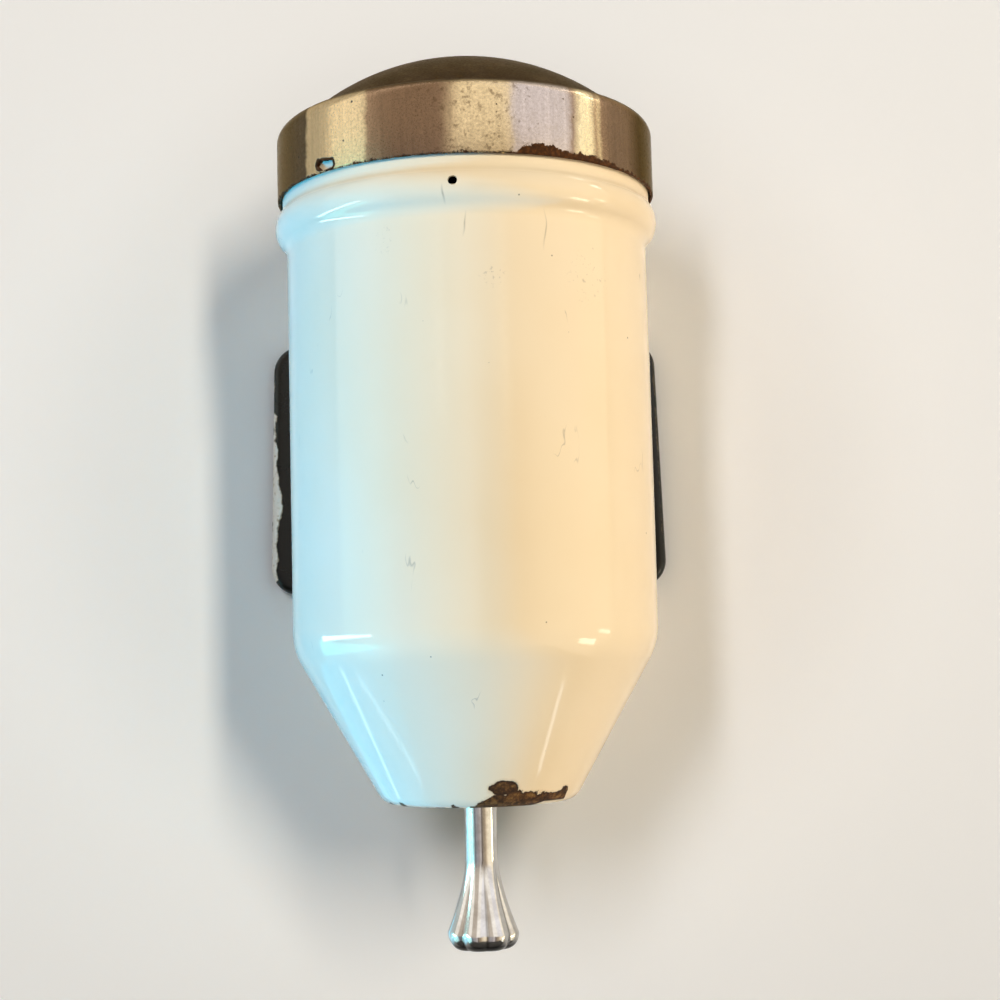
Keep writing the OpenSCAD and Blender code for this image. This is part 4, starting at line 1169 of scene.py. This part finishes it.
# Spring, collar and stop
# A pinned collar on the spindle carries the coil, which pushes against the guide bridge above. The sleeve
# inside the coil ends the push. Plain sizes are in millimetres.
SPRING_RADIUS = 7
SPRING_WIRE = 1.2
SPRING_TURNS = 8
SPRING_FOOT = 61.02
SPRING_TOP = 95.98
TURN_STEPS = 48
WIRE_SIDES = 12
WIRE_BLOTCH = 3 * MM
WIRE_GRAIN = 0.4 * MM
eased("pin", "collar_pin", FINE_EASE, zinc_steel, "plunger")
eased("collar", "spring_collar", EASE, zinc_steel, "plunger")
eased("sleeve", "stop_sleeve", EASE, zinc_steel, "plunger")

# Drawn spring wire: dark grey, oiled and finely grained, with patches of brown rust bloom.
spring_steel, tree, shader = new_material("spring_steel_wire")
place = add(tree, "ShaderNodeTexCoord").outputs["Object"]
blotch = add(tree, "ShaderNodeTexNoise", {"Vector": place, "Scale": 1 / WIRE_BLOTCH, "Detail": 4})
tone = add(
    tree, "ShaderNodeValToRGB", {"Fac": blotch}, [(0.3, "#5b4a3c"), (0.45, "#77777a"), (0.7, "#98989a")]
)
dull = add(tree, "ShaderNodeMapRange", {"Value": blotch, "To Min": 0.5, "To Max": 0.25})
grain = add(tree, "ShaderNodeTexNoise", {"Vector": place, "Scale": 1 / WIRE_GRAIN, "Detail": 2})
relief = add(tree, "ShaderNodeBump", {"Height": grain, "Strength": 0.2, "Distance": FINE_RELIEF})
feed(tree, shader, {"Base Color": tone, "Roughness": dull, "Normal": relief, "Metallic": 1.0})

rings = []
count = TURN_STEPS * SPRING_TURNS
for i in range(count + 1):
    turn = 2 * math.pi * i / TURN_STEPS
    rise = SPRING_FOOT + SPRING_WIRE / 2 + (SPRING_TOP - SPRING_FOOT - SPRING_WIRE) * i / count
    ring = []
    for side in range(WIRE_SIDES):
        lean = 2 * math.pi * side / WIRE_SIDES
        out = SPRING_RADIUS + SPRING_WIRE / 2 * math.cos(lean)
        across = AXIS_X + out * math.cos(turn) * MM
        deep = AXIS_Y + out * math.sin(turn) * MM
        ring.append((across, deep, BASE_Z + (rise + SPRING_WIRE / 2 * math.sin(lean)) * MM))
    rings.append(ring)
coil = new_piece("coil", lofted(rings), spring_steel)
given_to(coil, "hopper", "return_spring")
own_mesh(coil)

# Guide bridge
# A flat steel bar screwed across the hopper to its lugs, with a flanged brass bush in which the spindle
# slides.
eased("bridge", "guide_bridge", EASE, zinc_steel, "hopper")
eased("bush", "guide_bush", EASE, turned_brass, "hopper")
eased("screws", "bridge_screws", FINE_EASE, zinc_steel, "hopper")
eased("nuts", "bridge_nuts", FINE_EASE, zinc_steel, "hopper")

# Gasket
# A ring cut from pressed cork, glued under the lid's shoulder. It rests on the hopper's mouth and keeps
# damp out of the powder.
CORK_GRANULE = 2.5 * MM
CORK_RELIEF = 0.15 * MM

# Pressed cork: brown granules of two or three millimetres, some of them dark with bark, quite matt.
cork, tree, shader = new_material("pressed_cork")
place = add(tree, "ShaderNodeTexCoord").outputs["Object"]
granule = add(tree, "ShaderNodeTexVoronoi", {"Vector": place, "Scale": 1 / CORK_GRANULE})
bulge = granule.outputs["Distance"]
chosen = add(tree, "ShaderNodeSeparateColor", {"Color": granule.outputs["Color"]})
tone = add(
    tree,
    "ShaderNodeValToRGB",
    {"Fac": chosen.outputs["Red"]},
    [(0.0, "#6b4526"), (0.2, "#a67a4a"), (1.0, "#c39a66")],
)
dull = add(tree, "ShaderNodeMapRange", {"Value": bulge, "To Min": 0.8, "To Max": 0.95})
relief = add(tree, "ShaderNodeBump", {"Height": bulge, "Strength": 0.5, "Distance": CORK_RELIEF})
feed(tree, shader, {"Base Color": tone, "Roughness": dull, "Normal": relief})
eased("gasket", "lid_gasket", EASE, cork, "lid")

# Lid
# A slip lid spun from thin sheet and nickel plated, with a low dome. The plating is old: scuffed, browned
# and pitted, rusted through at one nick and eaten along the edge. Plain sizes are in millimetres.
LID_RADIUS = 50.8
LID_WALL = 0.9
LID_EDGE = 160.5
LID_TOP = 180
LID_ROUND = 3.5
DOME_RADIUS = 65.5
DOME_CENTRE = 133
DOME_STEPS = 48
# The nick: its angle to the left of the front, its outline above the edge, how far its cutter reaches on
# both sides of the skirt, and the rust round it, from one end's place and height to the other's.
NICK_ANGLE = 45.5
NICK = (
    (-3.3, 2.3), (-2.7, 2.9), (-1.8, 3.3), (-0.8, 3.0), (0.35, 2.8), (1.4, 2.8), (2.3, 2.6), (2.9, 2.1),
    (3.1, 1.5), (3.0, 0.9), (2.7, 0.5), (1.9, 0.55), (1.0, 0.4), (0.2, 0.4), (-0.6, 0.35), (-1.4, 0.6),
    (-2.1, 1.2), (-2.8, 1.8),
)
NICK_REACH = 3
NICK_ENDS = (-2, 2.2)
NICK_LEVELS = (2.1, 1.5)
NICK_RIM = 1.8
# Rust along the edge: the angle from the front in degrees and how high it has eaten there.
RUST_RISE = (
    (-60, 0.3), (8, 0.3), (13, 0.5), (16, 2.2), (20, 2.9), (24, 2.6), (28, 1.7), (33, 2.0), (40, 1.7),
    (47, 1.4), (50, 0.5), (60, 0.4),
)
RUST_FULL = 5
RUST_EDGE_GRAIN = 1.6 * MM
LID_RUST_GRAIN = 1.0 * MM
# The film on the skirt, with the room's reflections painted into it as bright and dark bands and a gleam:
# the angle from the front in degrees and the tone there.
DULLED = "#857762"
GREYED_DARK_REFLECTION = "#665c4e"
SOILED_DARK_REFLECTION = "#514334"
BROWNED_DARK_REFLECTION = "#967c64"
PAINTED_BRIGHT_REFLECTION = "#dac49c"
PAINTED_LILAC_REFLECTION = "#cdc0b8"
PAINTED_GLEAM = "#f2e2ba"
FILM_AND_REFLECTIONS = (
    (-180, DULLED), (-110, DULLED), (-95, GREYED_DARK_REFLECTION), (-54.5, GREYED_DARK_REFLECTION), (-53.5, PAINTED_BRIGHT_REFLECTION), (-31, PAINTED_BRIGHT_REFLECTION),
    (-29.5, BROWNED_DARK_REFLECTION), (-8, BROWNED_DARK_REFLECTION), (-3, PAINTED_BRIGHT_REFLECTION), (11, PAINTED_BRIGHT_REFLECTION), (13, PAINTED_LILAC_REFLECTION), (29, PAINTED_LILAC_REFLECTION),
    (31.3, BROWNED_DARK_REFLECTION), (33.5, PAINTED_GLEAM), (37.5, PAINTED_GLEAM), (39, BROWNED_DARK_REFLECTION), (40.5, PAINTED_BRIGHT_REFLECTION), (42, BROWNED_DARK_REFLECTION),
    (53, BROWNED_DARK_REFLECTION), (62, SOILED_DARK_REFLECTION), (95, SOILED_DARK_REFLECTION), (110, DULLED), (180, DULLED),
)
BAND_DRIFT = math.radians(1)
SKIRT_ENDS = 50.3
DOME_BEGINS = 49.3
BRUSH_LINE = 0.9 * MM
SPIN_LINE = 0.7 * MM
CLOUD = 6 * MM
MOTTLE = 0.6 * MM
PIT_SPACING = 2.4 * MM
TARNISH_SPOT = 1.8 * MM
SPOTS_FRONT = math.radians(10)
SPOTS_ASIDE = math.radians(22)
DENT = 2.6 * MM
NICKEL_RELIEF = 0.03 * MM


def lid_side(inset):
    """One side of the lid's metal from its edge to the top of the dome, in millimetres."""
    sphere = DOME_RADIUS - inset
    foot = math.degrees(math.asin((LID_TOP - inset - DOME_CENTRE) / sphere))
    shoulder = arc(LID_RADIUS - LID_ROUND, LID_TOP - LID_ROUND, LID_ROUND - inset, 0, 90)
    dome = arc(0, DOME_CENTRE, sphere, foot, 90, DOME_STEPS)
    return shoulder + dome[:-1] + [(0, DOME_CENTRE + sphere)]


# Old nickel plate on steel: a warm grey mirror gone satin, brushed up and down the skirt and round the
# dome, with brown tarnish, pits, dents that break its reflections, and rust eating in from the edge. Round
# the skirt, bright and dark bands and a gleam of the room's reflections are painted into its colour. The
# brushed lines are drawn coarser than real ones, so that they show.
old_nickel, tree, shader = new_material("old_nickel_plate")
place = add(tree, "ShaderNodeTexCoord").outputs["Object"]
around, rise, bearing = about_axis(tree, place)
flat = add(tree, "ShaderNodeVectorMath", {0: around, 1: (1, 1, 0)}, operation="MULTIPLY")
out = add(tree, "ShaderNodeVectorMath", {0: flat}, operation="LENGTH")
dome = add(
    tree,
    "ShaderNodeMapRange",
    {"Value": out.outputs["Value"], "From Min": SKIRT_ENDS * MM, "From Max": DOME_BEGINS * MM},
)

# The plate and its film, in tones that change round the skirt. Their bright and dark bands and gleam are
# painted reflections of the room.
streak_at = add(tree, "ShaderNodeVectorMath", {0: place, 1: (1, 1, 0.03)}, operation="MULTIPLY")
upright_streak = add(
    tree, "ShaderNodeTexNoise", {"Vector": streak_at, "Scale": 1 / BRUSH_LINE, "Detail": 4}
)
ring_at = add(tree, "ShaderNodeCombineXYZ", {"X": out.outputs["Value"], "Y": 0.0, "Z": 0.0})
ring_streak = add(tree, "ShaderNodeTexNoise", {"Vector": ring_at, "Scale": 1 / SPIN_LINE, "Detail": 4})
streak = add(tree, "ShaderNodeMix", {"Factor": dome, "A": upright_streak, "B": ring_streak})
cloud = add(
    tree, "ShaderNodeTexNoise", {"Vector": place, "Scale": 1 / CLOUD, "Detail": 6, "Roughness": 0.65}
)
drift = add(
    tree,
    "ShaderNodeMapRange",
    {"Value": cloud, "From Min": 0.25, "From Max": 0.75, "To Min": -BAND_DRIFT, "To Max": BAND_DRIFT},
)
# Painted reflections: the bands of tone round the skirt stand for the room mirrored in the plate.
band_at = add(tree, "ShaderNodeMath", {0: bearing, 1: drift}, operation="ADD")
band_share = add(
    tree, "ShaderNodeMapRange", {"Value": band_at, "From Min": -math.pi, "From Max": math.pi}
)
film_and_reflections = add(tree, "ShaderNodeValToRGB", {"Fac": band_share}, [((a + 180) / 360, c) for a, c in FILM_AND_REFLECTIONS])
dome_film = add(
    tree, "ShaderNodeValToRGB", {"Fac": cloud}, [(0.34, "#3b322b"), (0.52, "#483d36"), (0.7, "#625548")]
)
tarnish_and_reflections = add(tree, "ShaderNodeMix", {"Factor": dome, "A": film_and_reflections, "B": dome_film}, data_type="RGBA")
mottle = add(
    tree, "ShaderNodeTexNoise", {"Vector": place, "Scale": 1 / MOTTLE, "Detail": 4, "Roughness": 0.6}
)
mottling = add(
    tree,
    "ShaderNodeMapRange",
    {"Value": mottle, "From Min": 0.3, "From Max": 0.7, "To Min": 0.84, "To Max": 1.1},
)
brushing = add(
    tree,
    "ShaderNodeMapRange",
    {"Value": streak, "From Min": 0.3, "From Max": 0.7, "To Min": 0.9, "To Max": 1.06},
)
shade = add(tree, "ShaderNodeMath", {0: mottling, 1: brushing}, operation="MULTIPLY")
plated = add(tree, "ShaderNodeVectorMath", {0: tarnish_and_reflections, "Scale": shade}, operation="SCALE")

# Rust: a ragged strip along the edge, and a rim round the nick.
wander = ragged_line(tree, place, RUST_EDGE_GRAIN, 5, 0.65)
rust_depth = below_crest(tree, bearing, rise, wander, RUST_RISE, LID_EDGE, RUST_FULL)
nick_from, nick_to = NICK_ENDS
from_nick = add(tree, "ShaderNodeMath", {0: bearing, 1: math.radians(NICK_ANGLE)}, operation="ADD")
nick_x = add(tree, "ShaderNodeMath", {0: from_nick, 1: LID_RADIUS * MM}, operation="MULTIPLY")
nick_along = add(tree, "ShaderNodeClamp", {"Value": nick_x, "Min": nick_from * MM, "Max": nick_to * MM})
nick_level = add(
    tree,
    "ShaderNodeMapRange",
    {
        "Value": nick_along,
        "From Min": nick_from * MM,
        "From Max": nick_to * MM,
        "To Min": (LID_EDGE + NICK_LEVELS[0]) * MM,
        "To Max": (LID_EDGE + NICK_LEVELS[1]) * MM,
    },
)
nick_aside = add(tree, "ShaderNodeMath", {0: nick_x, 1: nick_along}, operation="SUBTRACT")
nick_above = add(tree, "ShaderNodeMath", {0: rise, 1: nick_level}, operation="SUBTRACT")
nick_off = add(tree, "ShaderNodeCombineXYZ", {"X": nick_aside, "Y": 0.0, "Z": nick_above})
nick_away = add(tree, "ShaderNodeVectorMath", {0: nick_off}, operation="LENGTH")
nick_edge = add(
    tree, "ShaderNodeMath", {0: wander, 1: 0.35, 2: NICK_RIM * MM}, operation="MULTIPLY_ADD"
)
nick_depth = add(
    tree, "ShaderNodeMath", {0: nick_edge, 1: nick_away.outputs["Value"]}, operation="SUBTRACT"
)
eaten = add(tree, "ShaderNodeMath", {0: rust_depth, 1: nick_depth}, operation="MAXIMUM")
rusted = add(tree, "ShaderNodeMapRange", {"Value": eaten, "From Min": -0.05 * MM, "From Max": 0.2 * MM})
rust_grain = add(
    tree,
    "ShaderNodeTexNoise",
    {"Vector": place, "Scale": 1 / LID_RUST_GRAIN, "Detail": 5, "Roughness": 0.7},
)
rust = add(
    tree,
    "ShaderNodeValToRGB",
    {"Fac": rust_grain},
    [(0.3, "#1c120b"), (0.5, "#432815"), (0.7, "#6f4524")],
)

# Brown tarnish spots, thickest at the front, and pits.
blotch = add(
    tree,
    "ShaderNodeTexNoise",
    {"Vector": place, "Scale": 1 / TARNISH_SPOT, "Detail": 5, "Roughness": 0.7},
)
aside = add(tree, "ShaderNodeMath", {0: bearing}, operation="ABSOLUTE")
scarce = add(
    tree,
    "ShaderNodeMapRange",
    {"Value": aside, "From Min": SPOTS_FRONT, "From Max": SPOTS_ASIDE, "To Min": 0.54, "To Max": 0.64},
)
spot_depth = add(tree, "ShaderNodeMath", {0: blotch, 1: scarce}, operation="SUBTRACT")
spotted = add(
    tree, "ShaderNodeMapRange", {"Value": spot_depth, "From Min": 0.0, "From Max": 0.1, "To Max": 0.6}
)
pitting = pinholes(tree, place, PIT_SPACING, 0.6, 0.16, 0.05, 0.85)
tarnished = add(
    tree, "ShaderNodeMix", {"Factor": spotted, "A": plated, "B": "#5d4830"}, data_type="RGBA"
)
pitted = add(
    tree, "ShaderNodeMix", {"Factor": pitting, "A": tarnished, "B": "#3b2b1d"}, data_type="RGBA"
)
colour = add(tree, "ShaderNodeMix", {"Factor": rusted, "A": pitted, "B": rust}, data_type="RGBA")
spoiled = add(tree, "ShaderNodeMath", {0: rusted, 1: pitting}, operation="MAXIMUM")
metal = add(tree, "ShaderNodeMapRange", {"Value": spoiled, "To Min": 1.0, "To Max": 0.15})
satin = add(
    tree,
    "ShaderNodeMapRange",
    {"Value": mottle, "From Min": 0.3, "From Max": 0.7, "To Min": 0.34, "To Max": 0.18},
)
satin_dome = add(tree, "ShaderNodeMath", {0: dome, 1: 0.18, 2: satin}, operation="MULTIPLY_ADD")
roughness = add(tree, "ShaderNodeMix", {"Factor": spoiled, "A": satin_dome, "B": 0.8})
dent = add(tree, "ShaderNodeTexNoise", {"Vector": place, "Scale": 1 / DENT, "Detail": 3})
dented = add(tree, "ShaderNodeMath", {0: dent, 1: 2.2, 2: mottle}, operation="MULTIPLY_ADD")
sunk = add(tree, "ShaderNodeMath", {0: spoiled, 1: -2.0, 2: dented}, operation="MULTIPLY_ADD")
relief = add(tree, "ShaderNodeBump", {"Height": sunk, "Strength": 0.5, "Distance": NICKEL_RELIEF})
feed(tree, shader, {"Base Color": colour, "Roughness": roughness, "Normal": relief, "Metallic": metal})
feed(tree, shader, {"Specular Tint": "#ddceb5"})

edge_round = LID_WALL / 2
edge = arc(LID_RADIUS - edge_round, LID_EDGE + edge_round, edge_round, 180, 360, 8)
lid = new_piece("lid", turned(edge + lid_side(0) + lid_side(LID_WALL)[::-1]), old_nickel)
nick = bmesh.new()
stand = turned_stand(NICK_ANGLE, LID_EDGE)
outer_y = -(LID_RADIUS + NICK_REACH) * MM
inner_y = -(LID_RADIUS - NICK_REACH) * MM
near = [nick.verts.new(stand @ Vector((x * MM, outer_y, z * MM))) for x, z in NICK]
far = [nick.verts.new(stand @ Vector((x * MM, inner_y, z * MM))) for x, z in NICK]
for i in range(len(NICK)):
    j = (i + 1) % len(NICK)
    nick.faces.new((near[i], near[j], far[j], far[i]))
nick.faces.new(near)
nick.faces.new(far)
bmesh.ops.recalc_face_normals(nick, faces=nick.faces)
carve(lid, nick)
given_to(lid, "lid", "lid_shell")
# The window's strips belong in the ivory enamel and the knob, so the lid and the plate don't mirror them.
unmirrored = bpy.data.collections.new("unmirrored")
spare(unmirrored, lid, plate)
for strip in window_strips:
    strip.light_linking.receiver_collection = unmirrored
